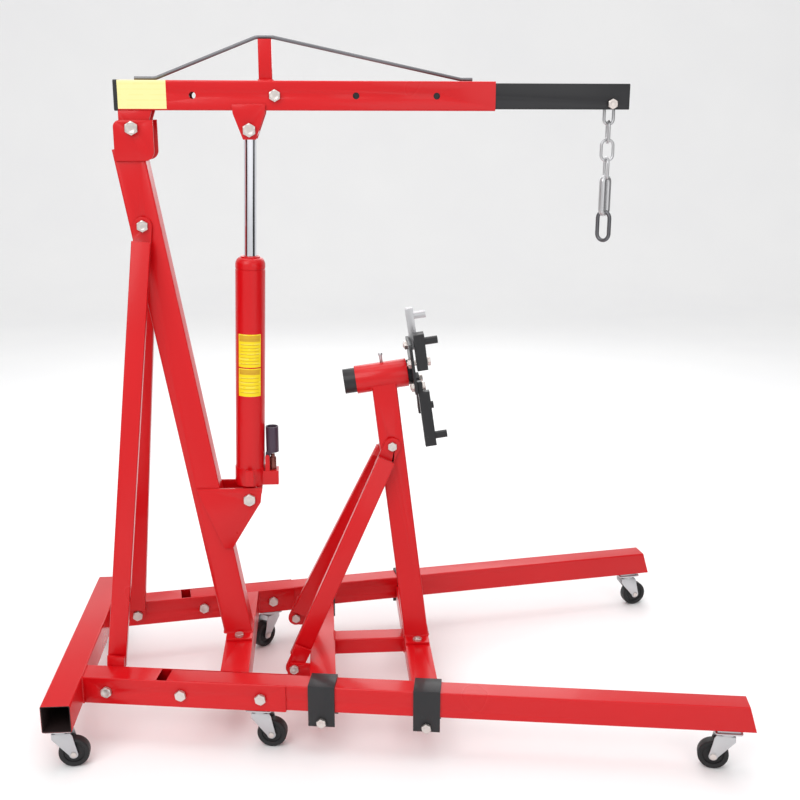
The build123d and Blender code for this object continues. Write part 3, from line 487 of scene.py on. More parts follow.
def build_texture(tree: bpy.types.NodeTree, start, end) -> None:
    """Fill the skin group: fine relief for the normal."""
    grain = tree.nodes.new("ShaderNodeTexNoise")
    grain.inputs["Detail"].default_value = 3.0
    tree.links.new(start.outputs["Place"], grain.inputs["Vector"])
    tree.links.new(start.outputs["Scale"], grain.inputs["Scale"])
    tree.links.new(grain.outputs["Fac"], end.inputs["Grain"])


@dataclass(frozen=True)
class Finish:
    """A surface of one kind, with its colours and how worn it is.

    Attributes:
        name: The material's name.
        slot: The record's material slot; not used.
        kind: What sort of surface it is.
        base: Main colour.
        tint: The colour that the main one drifts towards.
        under: What shows where it is chipped.
        gloss: Lowest and highest roughness.
        metal: Metallic share.
        coat: Clear coat weight.
        grain: Relief features per metre.
        relief: Strength of the relief.
    """

    name: str
    slot: str
    kind: Surface
    base: tuple[float, float, float]
    tint: tuple[float, float, float]
    under: tuple[float, float, float]
    gloss: tuple[float, float] = (0.25, 0.4)
    metal: float = 0.0
    coat: float = 0.0
    grain: float = 900.0
    relief: float = 0.06

    def material(self) -> bpy.types.Material:
        """Return the finish's material, made on first use."""
        if self.name in bpy.data.materials:
            return bpy.data.materials[self.name]
        material = bpy.data.materials.new(self.name)
        material.use_nodes = True
        tree = material.node_tree
        surface = tree.nodes["Principled BSDF"]
        surface.inputs["Metallic"].default_value = self.metal
        surface.inputs["Coat Weight"].default_value = self.coat
        surface.inputs["Coat Roughness"].default_value = 0.12
        surface.inputs["Specular IOR Level"].default_value = 0.5 if self.metal else 0.28
        place = tree.nodes.new("ShaderNodeTexCoord").outputs["Object"]
        scuffs = tree.nodes.new("ShaderNodeGroup")
        scuffs.node_tree = shader_group(
            "scuffs", build_scuffs, {"Chips": "NodeSocketFloat", "Marks": "NodeSocketFloat"}
        )
        tree.links.new(place, scuffs.inputs["Place"])
        skin = tree.nodes.new("ShaderNodeGroup")
        skin.node_tree = shader_group("skin", build_texture, {"Grain": "NodeSocketFloat"})
        tree.links.new(place, skin.inputs["Place"])
        skin.inputs["Scale"].default_value = self.grain
        colour = self.colours(tree, place, scuffs)
        tree.links.new(colour, surface.inputs["Base Color"])
        rough = remap(tree, scuffs.outputs["Marks"], 0.0, 1.0, *self.gloss)
        tree.links.new(rough, surface.inputs["Roughness"])
        bump = tree.nodes.new("ShaderNodeBump")
        bump.inputs["Strength"].default_value = self.relief
        bump.inputs["Distance"].default_value = 0.5 * MM
        tree.links.new(skin.outputs["Grain"], bump.inputs["Height"])
        tree.links.new(bump.outputs["Normal"], surface.inputs["Normal"])
        return material

    def colours(self, tree: bpy.types.NodeTree, place, scuffs):
        """Build the colour, with its drift and its chips.

        Args:
            tree: The material's tree.
            place: The coordinate socket.
            scuffs: The scuffs group's node.

        Returns:
            The colour socket.
        """
        if self.kind is Surface.PRINTED:
            return self.print_colours(tree, place)
        drift = noise(tree, place, 6.0, 0.0)
        spread = remap(tree, drift.outputs["Fac"], 0.1, 0.9, 0.0, 1.0)
        colour = blended(tree, spread, self.base, self.tint)
        return blended(tree, scuffs.outputs["Chips"], colour, self.under)

    def print_colours(self, tree: bpy.types.NodeTree, place):
        """Build a label's colours: blank film with faint ruled bands and no lettering."""
        bands = tree.nodes.new("ShaderNodeTexWave")
        bands.bands_direction = "Z"
        bands.inputs["Scale"].default_value = 28.0
        bands.inputs["Distortion"].default_value = 0.0
        tree.links.new(place, bands.inputs["Vector"])
        rows = remap(tree, bands.outputs["Fac"], 0.72, 0.9, 0.0, 0.35)
        blots = noise(tree, place, 55.0, 2.0)
        gaps = remap(tree, blots.outputs["Fac"], 0.42, 0.5, 0.0, 1.0)
        marks = tree.nodes.new("ShaderNodeMath")
        marks.operation = "MULTIPLY"
        tree.links.new(rows, marks.inputs[0])
        tree.links.new(gaps, marks.inputs[1])
        return blended(tree, marks.outputs["Value"], self.base, self.tint)


RED = Finish(
    "red_powder_coat", "red_paint", Surface.PAINT, (0.60, 0.0022, 0.0055), (0.55, 0.0018, 0.0045),
    (0.44, 0.002, 0.004), (0.26, 0.36), 0.0, 0.18, 700.0, 0.05,
)
BLACK = Finish(
    "black_powder_coat", "black_paint", Surface.PAINT, (0.012, 0.012, 0.014), (0.020, 0.020, 0.022),
    (0.10, 0.09, 0.09), (0.32, 0.50), 0.0, 0.15, 900.0, 0.10,
)
ZINC = Finish(
    "bright_zinc", "zinc", Surface.PLATED, (0.56, 0.56, 0.57), (0.46, 0.46, 0.48),
    (0.42, 0.40, 0.38), (0.26, 0.42), 0.9, 0.0, 500.0, 0.05,
)
BOLT = Finish(
    "plated_bolt", "bolts", Surface.PLATED, (0.68, 0.62, 0.59), (0.58, 0.53, 0.50),
    (0.45, 0.42, 0.40), (0.24, 0.38), 0.75, 0.0, 1200.0, 0.08,
)
CHROME = Finish(
    "hard_chrome", "chrome", Surface.POLISHED, (0.78, 0.79, 0.83), (0.74, 0.75, 0.79),
    (0.70, 0.71, 0.74), (0.05, 0.10), 1.0, 0.0, 3000.0, 0.01,
)
TREAD = Finish(
    "wheel_tread", "wheel", Surface.MOULDED, (0.014, 0.014, 0.015), (0.022, 0.022, 0.023),
    (0.05, 0.05, 0.05), (0.38, 0.55), 0.0, 0.0, 1500.0, 0.12,
)
SOCKET = Finish(
    "blued_socket", "black_paint", Surface.PAINT, (0.075, 0.045, 0.075), (0.05, 0.03, 0.05),
    (0.20, 0.16, 0.18), (0.30, 0.45), 0.2, 0.0, 800.0, 0.10,
)
CREAM = Finish(
    "cream_film", "red_paint", Surface.PRINTED, (0.84, 0.76, 0.34), (0.70, 0.70, 0.26),
    (0.5, 0.5, 0.3), (0.35, 0.45),
)
YELLOW = Finish(
    "yellow_film", "red_paint", Surface.PRINTED, (0.86, 0.66, 0.01), (0.90, 0.80, 0.20),
    (0.5, 0.4, 0.1), (0.35, 0.45),
)
INK = Finish(
    "label_ink", "red_paint", Surface.PRINTED, (0.62, 0.36, 0.02), (0.50, 0.26, 0.02),
    (0.5, 0.4, 0.1), (0.35, 0.45),
)
OILED = Finish(
    "oiled_steel", "chrome", Surface.PLATED, (0.30, 0.10, 0.08), (0.16, 0.05, 0.04),
    (0.10, 0.06, 0.05), (0.22, 0.38), 0.7, 0.0, 900.0, 0.06,
)
WIRE = Finish(
    "dull_rod", "zinc", Surface.PLATED, (0.20, 0.20, 0.21), (0.13, 0.13, 0.14),
    (0.30, 0.29, 0.28), (0.34, 0.50), 0.7, 0.0, 900.0, 0.08,
)
CAP = Finish(
    "end_cap", "black_paint", Surface.MOULDED, (0.016, 0.016, 0.017), (0.026, 0.026, 0.028),
    (0.05, 0.05, 0.05), (0.42, 0.58), 0.0, 0.0, 1400.0, 0.10,
)
# Painted shade: a near-black red for the inner walls of the open rear tube, put there as the shade
# that falls inside the tube.
INSIDE_SHADE = Finish(
    "bare_inside", "red_paint", Surface.PLATED, (0.030, 0.006, 0.006), (0.012, 0.008, 0.008),
    (0.08, 0.02, 0.02), (0.55, 0.75), 0.2, 0.0, 500.0, 0.15,
)
GALVANISED = Finish(
    "galvanised_chain", "zinc", Surface.PLATED, (0.60, 0.60, 0.61), (0.44, 0.44, 0.45),
    (0.25, 0.24, 0.23), (0.30, 0.45), 0.85, 0.0, 700.0, 0.12,
)
GUNMETAL = Finish(
    "dark_ring", "black_paint", Surface.PLATED, (0.16, 0.16, 0.17), (0.10, 0.10, 0.11),
    (0.30, 0.29, 0.28), (0.26, 0.42), 0.8, 0.0, 700.0, 0.12,
)


def wired(tree: bpy.types.NodeTree, *pairs: tuple) -> None:
    """Link output sockets to input sockets, pair by pair."""
    for out, into in pairs:
        tree.links.new(out, into)


# ---- Geometry-node trees --------------------------------------------------------------
@dataclass(frozen=True)
class Recipe:
    """A geometry-node tree and the identifiers of its named inputs."""

    tree: bpy.types.NodeTree
    sockets: dict[str, str]

    def run(self, piece: bpy.types.Object, **values) -> bpy.types.Object:
        """Apply the tree to an object and settle the result.

        Args:
            piece: The object to apply it to, which is used up.
            **values: Input values by name, with underscores for spaces.

        Returns:
            The settled mesh object.
        """
        modifier = piece.modifiers.new("recipe", "NODES")
        modifier.node_group = self.tree
        for name, value in values.items():
            modifier[self.sockets[name]] = value
        return settled(piece)


def new_recipe(name: str, inputs: dict[str, str]) -> tuple[Recipe, bpy.types.Node, bpy.types.Node]:
    """Start a geometry-node tree with named inputs.

    Args:
        name: The tree's name.
        inputs: Socket types by input name.

    Returns:
        The recipe, its input node and its output node.
    """
    tree = bpy.data.node_groups.new(name, "GeometryNodeTree")
    tree.interface.new_socket("Geometry", in_out="INPUT", socket_type="NodeSocketGeometry")
    tree.interface.new_socket("Geometry", in_out="OUTPUT", socket_type="NodeSocketGeometry")
    sockets = {}
    for label, kind in inputs.items():
        made = tree.interface.new_socket(label, in_out="INPUT", socket_type=kind)
        sockets[label] = made.identifier
    return Recipe(tree, sockets), tree.nodes.new("NodeGroupInput"), tree.nodes.new(
        "NodeGroupOutput"
    )


def close_recipe(recipe: Recipe, start, end, geometry) -> Recipe:
    """End a tree in Realize Instances and Set Material.

    Args:
        recipe: The recipe being built.
        start: Its input node, which has a Finish input.
        end: Its output node.
        geometry: The socket to finish.

    Returns:
        The same recipe.
    """
    nodes, links = recipe.tree.nodes, recipe.tree.links
    real = nodes.new("GeometryNodeRealizeInstances")
    paint = nodes.new("GeometryNodeSetMaterial")
    links.new(geometry, real.inputs["Geometry"])
    links.new(real.outputs["Geometry"], paint.inputs["Geometry"])
    links.new(start.outputs["Finish"], paint.inputs["Material"])
    links.new(paint.outputs["Geometry"], end.inputs["Geometry"])
    return recipe


@cache
def bent_bar_recipe() -> Recipe:
    """Build the tree that sweeps a round bar along a curve."""
    recipe, start, end = new_recipe(
        "bent_bar", {
            "Radius": "NodeSocketFloat", "Facets": "NodeSocketInt", "Finish": "NodeSocketMaterial"
        }
    )
    nodes = recipe.tree.nodes
    section = nodes.new("GeometryNodeCurvePrimitiveCircle")
    sweep = nodes.new("GeometryNodeCurveToMesh")
    sweep.inputs["Fill Caps"].default_value = True
    wired(
        recipe.tree,
        (start.outputs["Radius"], section.inputs["Radius"]),
        (start.outputs["Facets"], section.inputs["Resolution"]),
        (start.outputs["Geometry"], sweep.inputs["Curve"]),
        (section.outputs["Curve"], sweep.inputs["Profile Curve"]),
    )
    return close_recipe(recipe, start, end, sweep.outputs["Mesh"])


@cache
def weld_recipe() -> Recipe:
    """Build the tree that lays overlapping ripples along a curve, as a weld bead has."""
    recipe, start, end = new_recipe(
        "weld_bead",
        {
            "Radius": "NodeSocketFloat",
            "Step": "NodeSocketFloat",
            "Seed": "NodeSocketInt",
            "Finish": "NodeSocketMaterial",
        },
    )
    nodes, links = recipe.tree.nodes, recipe.tree.links
    points = nodes.new("GeometryNodeCurveToPoints")
    points.mode = "LENGTH"
    ripple = nodes.new("GeometryNodeMeshUVSphere")
    ripple.inputs["Segments"].default_value = 8
    ripple.inputs["Rings"].default_value = 5
    size = nodes.new("FunctionNodeRandomValue")
    size.inputs[2].default_value = 0.82
    size.inputs[3].default_value = 1.12
    lay = nodes.new("GeometryNodeInstanceOnPoints")
    links.new(start.outputs["Geometry"], points.inputs["Curve"])
    links.new(start.outputs["Step"], points.inputs["Length"])
    links.new(start.outputs["Radius"], ripple.inputs["Radius"])
    links.new(start.outputs["Seed"], size.inputs["Seed"])
    links.new(points.outputs["Points"], lay.inputs["Points"])
    links.new(points.outputs["Rotation"], lay.inputs["Rotation"])
    links.new(ripple.outputs["Mesh"], lay.inputs["Instance"])
    links.new(size.outputs[1], lay.inputs["Scale"])
    return close_recipe(recipe, start, end, lay.outputs["Instances"])


@cache
def fastener_recipe() -> Recipe:
    """Build the tree that sets heads, nuts and shanks on points with an axis and a grip."""
    recipe, start, end = new_recipe(
        "fasteners",
        {
            "Head": "NodeSocketObject",
            "Nut": "NodeSocketObject",
            "Shank Radius": "NodeSocketFloat",
            "Finish": "NodeSocketMaterial",
        },
    )
    nodes, links = recipe.tree.nodes, recipe.tree.links

    def attribute(name: str, kind: str):
        """Read a named attribute of the points."""
        node = nodes.new("GeometryNodeInputNamedAttribute")
        node.data_type = kind
        node.inputs["Name"].default_value = name
        return node.outputs["Attribute"]

    to_points = nodes.new("GeometryNodeMeshToPoints")
    links.new(start.outputs["Geometry"], to_points.inputs["Mesh"])
    turn = nodes.new("FunctionNodeAlignRotationToVector")
    turn.axis = "Z"
    links.new(attribute("axis", "FLOAT_VECTOR"), turn.inputs["Vector"])
    together = nodes.new("GeometryNodeJoinGeometry")
    for label, share in (("Head", 0.5), ("Nut", -0.5)):
        shape = nodes.new("GeometryNodeObjectInfo")
        links.new(start.outputs[label], shape.inputs["Object"])
        put = nodes.new("GeometryNodeInstanceOnPoints")
        links.new(to_points.outputs["Points"], put.inputs["Points"])
        links.new(attribute(label.lower(), "BOOLEAN"), put.inputs["Selection"])
        links.new(shape.outputs["Geometry"], put.inputs["Instance"])
        links.new(turn.outputs["Rotation"], put.inputs["Rotation"])
        half = nodes.new("ShaderNodeMath")
        half.operation = "MULTIPLY"
        half.inputs[1].default_value = share
        links.new(attribute("grip", "FLOAT"), half.inputs[0])
        offset = nodes.new("ShaderNodeCombineXYZ")
        links.new(half.outputs["Value"], offset.inputs["Z"])
        shift = nodes.new("GeometryNodeTranslateInstances")
        links.new(put.outputs["Instances"], shift.inputs["Instances"])
        links.new(offset.outputs["Vector"], shift.inputs["Translation"])
        links.new(shift.outputs["Instances"], together.inputs["Geometry"])
    bar = nodes.new("GeometryNodeMeshCylinder")
    bar.inputs["Vertices"].default_value = 24
    bar.inputs["Depth"].default_value = 1.0
    links.new(start.outputs["Shank Radius"], bar.inputs["Radius"])
    put = nodes.new("GeometryNodeInstanceOnPoints")
    stretch = nodes.new("ShaderNodeCombineXYZ")
    stretch.inputs["X"].default_value = 1.0
    stretch.inputs["Y"].default_value = 1.0
    links.new(attribute("grip", "FLOAT"), stretch.inputs["Z"])
    links.new(to_points.outputs["Points"], put.inputs["Points"])
    links.new(bar.outputs["Mesh"], put.inputs["Instance"])
    links.new(turn.outputs["Rotation"], put.inputs["Rotation"])
    links.new(stretch.outputs["Vector"], put.inputs["Scale"])
    links.new(put.outputs["Instances"], together.inputs["Geometry"])
    return close_recipe(recipe, start, end, together.outputs["Geometry"])


def curve_of(name: str, paths: list[list[Vector]], closed: bool = False) -> bpy.types.Object:
    """Make a curve object from straight-segment paths.

    Args:
        name: The object's name.
        paths: Points of each path, in metres.
        closed: Whether each path is a loop.

    Returns:
        The curve object.
    """
    data = bpy.data.curves.new(name, "CURVE")
    data.dimensions = "3D"
    for path in paths:
        spline = data.splines.new("POLY")
        spline.points.add(len(path) - 1)
        for point, spot in zip(spline.points, path):
            point.co = (*spot, 1.0)
        spline.use_cyclic_u = closed
    return object_from(name, data)


# ---- Sub-assemblies -------------------------------------------------------------------
def softened(node: str, edge: float) -> bpy.types.Object:
    """Copy a node's surface as a clean mesh and round its sharp edges.

    Args:
        node: The CAD node to follow.
        edge: How wide the rounding is, in metres.

    Returns:
        A new mesh object named after the node.
    """
    bm = merged(node)
    bmesh.ops.dissolve_limit(bm, angle_limit=math.radians(0.5), verts=bm.verts, edges=bm.edges)
    bmesh.ops.recalc_face_normals(bm, faces=bm.faces)
    mesh = bpy.data.meshes.new("soft_" + node)
    bm.to_mesh(mesh)
    bm.free()
    return bevelled(object_from("soft_" + node, mesh), edge)


def shade_tube_inside(piece: bpy.types.Object, across: tuple[int, int], wall: float) -> None:
    """Paint an open tube's inner walls near-black as painted shade, the shade that falls inside the
    tube.

    Args:
        piece: The tube's visible piece.
        across: The two coordinates that lie across the tube.
        wall: The tube's wall.
    """
    corners = np.array([v.co for v in piece.data.vertices])
    low, high = corners.min(axis=0), corners.max(axis=0)
    piece.data.materials.append(INSIDE_SHADE.material())
    for polygon in piece.data.polygons:
        inside = all(
            low[n] + 0.6 * wall < polygon.center[n] < high[n] - 0.6 * wall for n in across
        )
        if inside:
            polygon.material_index = len(piece.data.materials) - 1


@dataclass(frozen=True)
class Weldment:
    """Painted tubes and plates of one body, with formed edges.

    Attributes:
        body: The body that they belong to.
        finish: Their paint.
        nodes: The CAD nodes that they follow.
        edge: Width of the rounding on cut edges.
    """

    body: str
    finish: Finish
    nodes: tuple[str, ...]
    edge: float = 0.9 * MM

    def build(self) -> None:
        """Make each piece and hand it over."""
        for node in self.nodes:
            hand_over(softened(node, self.edge), self.body, self.finish, (node,))


@dataclass(frozen=True)
class WeldSeams:
    """Beads of weld along the seams of one body.

    Attributes:
        name: The piece's name.
        body: The body that carries the beads.
        finish: Their surface, which is the paint over them.
        radius: Half the bead's width.
        step: Distance from one ripple to the next.
        seed: Seed of the ripples' sizes.
    """

    name: str
    body: str
    finish: Finish
    radius: float = 2.6 * MM
    step: float = 1.7 * MM
    seed: int = 1

    def build(self, paths: list[list[Vector]]) -> None:
        """Lay the beads.

        Args:
            paths: The seams, each a list of points.
        """
        line = curve_of(self.name, paths)
        bead = weld_recipe().run(
            line, Radius=self.radius, Step=self.step, Seed=self.seed, Finish=self.finish.material()
        )
        hand_over(bead, self.body, self.finish)


def outer_loop(node: str, spot: Vector, normal: Vector) -> list[Vector]:
    """Cut a node with a plane and return the longest closed outline of the cut.

    Args:
        node: The CAD node.
        spot: A point on the plane.
        normal: The plane's normal.

    Returns:
        The outline's points in order, with the first repeated at the end.
    """
    bm = merged(node)
    every = bm.verts[:] + bm.edges[:] + bm.faces[:]
    cut = bmesh.ops.bisect_plane(
        bm, geom=every, plane_co=spot, plane_no=normal, clear_inner=True, clear_outer=True
    )
    edges = {item for item in cut["geom_cut"] if isinstance(item, bmesh.types.BMEdge)}
    loops = []
    while edges:
        edge = edges.pop()
        loop, tip = [edge.verts[0].co.copy(), edge.verts[1].co.copy()], edge.verts[1]
        while True:
            onward = [other for other in tip.link_edges if other in edges]
            if not onward:
                break
            edges.discard(onward[0])
            tip = onward[0].other_vert(tip)
            loop.append(tip.co.copy())
        loops.append(loop)
    bm.free()
    return max(loops, key=lambda loop: sum((b - a).length for a, b in zip(loop, loop[1:])))


@dataclass(frozen=True)
class BoltShape:
    """Proportions of a hexagon bolt, as shares of its shank radius.

    Attributes:
        corner: Radius to the hexagon's corners.
        head: Head height.
        nut: Nut height.
        washer: Washer radius.
        washer_thick: Washer thickness.
        stub: Length of thread past the nut.
    """

    corner: float = 1.905
    head: float = 1.25
    nut: float = 1.5
    washer: float = 1.64
    washer_thick: float = 0.26
    stub: float = 0.4

    def hexagon(
        self, name: str, low: float, high: float, radius: float, rounded_top: bool
    ) -> bpy.types.Object:
        """Make a hexagon whose outer face is chamfered round, along local z.

        Args:
            name: The object's name.
            low: Inner end.
            high: Outer end.
            radius: Shank radius.
            rounded_top: Whether the face has a shallow ring mark, as a head does.

        Returns:
            The hexagon.
        """
        bm = bmesh.new()
        corner = self.corner * radius
        flat = corner * math.cos(math.pi / 6)
        steps = 36
        dip = 0.12 * radius * (1 if high > low else -1)
        levels = [(low, 1.0), (high - dip * 1.6, 1.0), (high, 0.0)]
        rings = []
        for height, hexness in levels:
            ring = []
            for n in range(steps):
                a = 2 * math.pi * n / steps
                sector = (a + math.pi / 6) % (math.pi / 3) - math.pi / 6
                edge = flat / math.cos(sector)
                away = edge * hexness + flat * 0.97 * (1 - hexness)
                drop = 0.0 if height != levels[1][0] else dip * 1.2 * (corner - edge) / (
                    corner - flat
                )
                ring.append(bm.verts.new((away * math.cos(a), away * math.sin(a), height + drop)))
            rings.append(ring)
        if rounded_top:
            for share, height in ((0.62, high), (0.56, high - dip * 0.5), (0.2, high - dip * 0.5)):
                spots = [2 * math.pi * n / steps for n in range(steps)]
                rings.append(
                    [
                        bm.verts.new(
                            (flat * share * math.cos(a), flat * share * math.sin(a), height)
                        )
                        for a in spots
                    ]
                )
        for a_ring, b_ring in zip(rings, rings[1:]):
            for n in range(steps):
                m = (n + 1) % steps
                bm.faces.new([a_ring[n], a_ring[m], b_ring[m], b_ring[n]])
        bm.faces.new(rings[0])
        bm.faces.new(rings[-1])
        return from_bmesh(name, bm)

    def head_end(self, radius: float) -> bpy.types.Object:
        """Make the head with its washer, whose seat is at the local origin."""
        washer = self.washer_thick * radius
        ring = lathe("washer", self.washer_profile(radius, 0.0, washer), Matrix.Identity(4), 36)
        return joined(
            "bolt_head", [self.hexagon("head", washer, self.head * radius, radius, True), ring]
        )

    def nut_end(self, radius: float) -> bpy.types.Object:
        """Make the nut, its washer and the thread stub, whose seat is at the local origin."""
        washer = self.washer_thick * radius
        end = -self.nut * radius
        ring = lathe("washer", self.washer_profile(radius, -washer, 0.0), Matrix.Identity(4), 36)
        thread = [(0.0, end - self.stub * radius), (0.86 * radius, end - self.stub * radius)]
        thread += [(radius, end - (self.stub - 0.15) * radius), (radius, end), (0.0, end)]
        stub = lathe("stub", thread, Matrix.Identity(4), 24)
        return joined("bolt_nut", [self.hexagon("nut", -washer, end, radius, False), ring, stub])

    def washer_profile(self, radius: float, low: float, high: float) -> list[tuple[float, float]]:
        """Outline of a washer between two heights."""
        rim = self.washer * radius
        lip = 0.2 * (high - low)
        return [
            (0.0, low),
            (rim - lip, low),
            (rim, low + lip),
            (rim, high - lip),
            (rim - lip, high),
            (0.0, high),
        ]


@dataclass(frozen=True)
class Fasteners:
    """All the bolts of one CAD node.

    Attributes:
        node: The node that they stand for.
        body: The body that they ride on.
        finish: Their plating.
        shape: Their proportions.
    """

    node: str
    body: str
    finish: Finish = BOLT
    shape: BoltShape = BoltShape()

    def build(self) -> None:
        """Find each bolt's axis and grip, and set heads, nuts and shanks on them."""
        groups: dict[float, list[tuple[Vector, Vector, float, bool, bool]]] = {}
        for solid in solids_of(self.node):
            axis = solid.axle()
            if axis.y > 0 or (abs(axis.y) < 0.3 and axis.z < 0):
                axis = -axis
            low, high = solid.reach(axis)
            radius = round(solid.radius(axis) / self.shape.corner / (0.5 * MM)) * 0.5 * MM
            from_centre = solid.points - np.array(solid.centre)
            spots = from_centre @ np.array(axis)
            away = np.linalg.norm(from_centre - np.outer(spots, np.array(axis)), axis=1)
            wide = spots[away > 1.4 * radius]
            has_head = bool((wide > high - 1.5 * radius).any())
            has_nut = bool((wide < low + 2.2 * radius).any())
            if has_head and has_nut and np.ptp(wide) < 2.0 * radius:
                has_head = bool(np.median(wide) > np.median([low, high]))
                has_nut = not has_head
            top = high - self.shape.head * radius if has_head else high
            bottom = low + (self.shape.nut + self.shape.stub) * radius if has_nut else low
            centre = solid.centre + axis * (top + bottom) / 2
            groups.setdefault(radius, []).append((centre, axis, top - bottom, has_head, has_nut))
        parts = []
        for radius, bolts in sorted(groups.items()):
            mesh = bpy.data.meshes.new("bolt_points")
            mesh.from_pydata([tuple(bolt[0]) for bolt in bolts], [], [])
            kinds = {"axis": "FLOAT_VECTOR", "grip": "FLOAT", "head": "BOOLEAN", "nut": "BOOLEAN"}
            for column, (label, kind) in enumerate(kinds.items(), 1):
                values = mesh.attributes.new(label, kind, "POINT")
                field = "vector" if kind == "FLOAT_VECTOR" else "value"
                for n, bolt in enumerate(bolts):
                    setattr(values.data[n], field, bolt[column])
            head, nut = self.shape.head_end(radius), self.shape.nut_end(radius)
            made = fastener_recipe().run(
                object_from("bolts_part", mesh),
                Head=head, Nut=nut, **{"Shank Radius": radius, "Finish": self.finish.material()},
            )
            bpy.data.objects.remove(head)
            bpy.data.objects.remove(nut)
            parts.append(made)
        hand_over(joined("hex_" + self.node, parts), self.body, self.finish, (self.node,))


@dataclass(frozen=True)
class Caster:
    """A swivelling plate caster: pressed fork, ball race, axle, and a solid wheel.

    Attributes:
        place: The corner of the base that it stands under.
        sheet: Thickness of the fork's steel.
        cheek_inner: Half the distance between its cheeks.
        race: Radius of the ball race.
        axle_boss: Radius of the cheeks round the axle.
        half_width: Half the wheel's width.
    """

    place: str
    sheet: float = 2.4 * MM
    cheek_inner: float = 15.1 * MM
    race: float = 23.0 * MM
    axle_boss: float = 10.0 * MM
    half_width: float = 13.0 * MM

    def frame_at(self) -> tuple[Matrix, float, float]:
        """Return the fork's placement under its plate, and the wheel's trail and drop."""
        hub = pivot("roll_" + self.place)
        stem = pivot("swivel_" + self.place)
        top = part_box("caster_fork_" + self.place)[1].z
        away = Vector((hub.x - stem.x, hub.y - stem.y, 0.0))
        place = placed(Vector((stem.x, stem.y, top)), away, Vector((0, 0, 1)))
        return place, away.length, hub.z - top

    def build(self) -> None:
        """Make the fork and the wheel."""
        place, trail, drop = self.frame_at()
        self.fork(place, trail, drop)
        self.wheel(place, trail, drop)

    def fork(self, place: Matrix, trail: float, drop: float) -> None:
        """Make the race, the crown, both cheeks and the axle bolt as one pressed assembly."""
        outer = self.cheek_inner + self.sheet
        crown = -10.0 * MM
        top = [
            (0.0, 0.0),
            (self.race - 3 * MM, 0.0),
            (self.race - 1.2 * MM, -1.5 * MM),
            (self.race, -4 * MM),
        ]
        top += [
            (self.race, -6.5 * MM),
            (self.race - 2 * MM, -8.5 * MM),
            (self.race - 4 * MM, crown),
            (0.0, crown),
        ]
        parts = [lathe("race", top, place)]
        ears = [
            (-self.race * 0.82, crown),
            (self.race * 0.95, crown),
            (self.race * 0.95 + 4 * MM, crown - 6 * MM),
        ]
        ears += arc((trail, drop), self.axle_boss, 22, -172, 14) + [
            (-self.race * 0.82, crown - 13 * MM)
        ]
        for side in (-1, 1):
            upright = place @ placed(
                Vector((0, side * (outer - self.sheet / 2), 0)),
                Vector((1, 0, 0)),
                Vector((0, -1, 0)),
            )
            sheet = slab("cheek", ears, -self.sheet / 2, self.sheet / 2, upright)
            parts.append(bevelled(sheet, 0.7 * MM))
        roof = [
            (-self.race * 0.82, -outer),
            (self.race * 0.95, -outer),
            (self.race * 0.95, outer),
            (-self.race * 0.82, outer),
        ]
        parts.append(bevelled(slab("roof", roof, crown - self.sheet, crown, place), 1.6 * MM, 3))
        along = place @ placed(Vector((trail, 0, drop)), Vector((1, 0, 0)), Vector((0, 1, 0)))
        head = outer + 3.6 * MM
        bolt = [
            (0.0, -head),
            (4.6 * MM, -head),
            (6.2 * MM, -head + 1 * MM),
            (6.4 * MM, -outer),
            (4 * MM, -outer),
        ]
        bolt += [
            (4 * MM, outer),
            (7 * MM, outer),
            (7 * MM, outer + 3.2 * MM),
            (5.8 * MM, head),
            (0.0, head),
        ]
        axle = settled(lathe("axle", bolt, along, 24))
        axle.data.materials.append(BOLT.material())
        for part in parts:
            part.data.materials.clear()
            part.data.materials.append(ZINC.material())
        body = joined("fork_" + self.place, [settled(parts[0]), *parts[1:], axle])
        hand_over(body, "caster_" + self.place, ZINC, ("caster_fork_" + self.place,))

    def wheel(self, place: Matrix, trail: float, drop: float) -> None:
        """Make the wheel: tread, stepped sidewalls, web and hub."""
        along = place @ placed(Vector((trail, 0, drop)), Vector((1, 0, 0)), Vector((0, 1, 0)))
        rim, half = place.translation.z + drop, self.half_width
        side = [
            (4.06 * MM, half + 1.5 * MM),
            (8.6 * MM, half + 1.5 * MM),
            (9.6 * MM, half + 0.6 * MM),
            (10.4 * MM, 9.4 * MM),
        ]
        side += [
            (12 * MM, 8.6 * MM),
            (rim * 0.64, 8.2 * MM),
            (rim * 0.68, 10.8 * MM),
            (rim * 0.72, 11.6 * MM),
        ]
        side += [
            (rim * 0.88, half),
            (rim * 0.95, half - 1 * MM),
            (rim * 0.988, half - 3 * MM),
            (rim, half - 6 * MM),
        ]
        profile = side + [(radius, -height) for radius, height in reversed(side)] + [side[0]]
        tyre = settled(lathe("tyre_" + self.place, profile, along, 72), 24)
        hand_over(tyre, "roller_" + self.place, TREAD, ("wheel_" + self.place,))


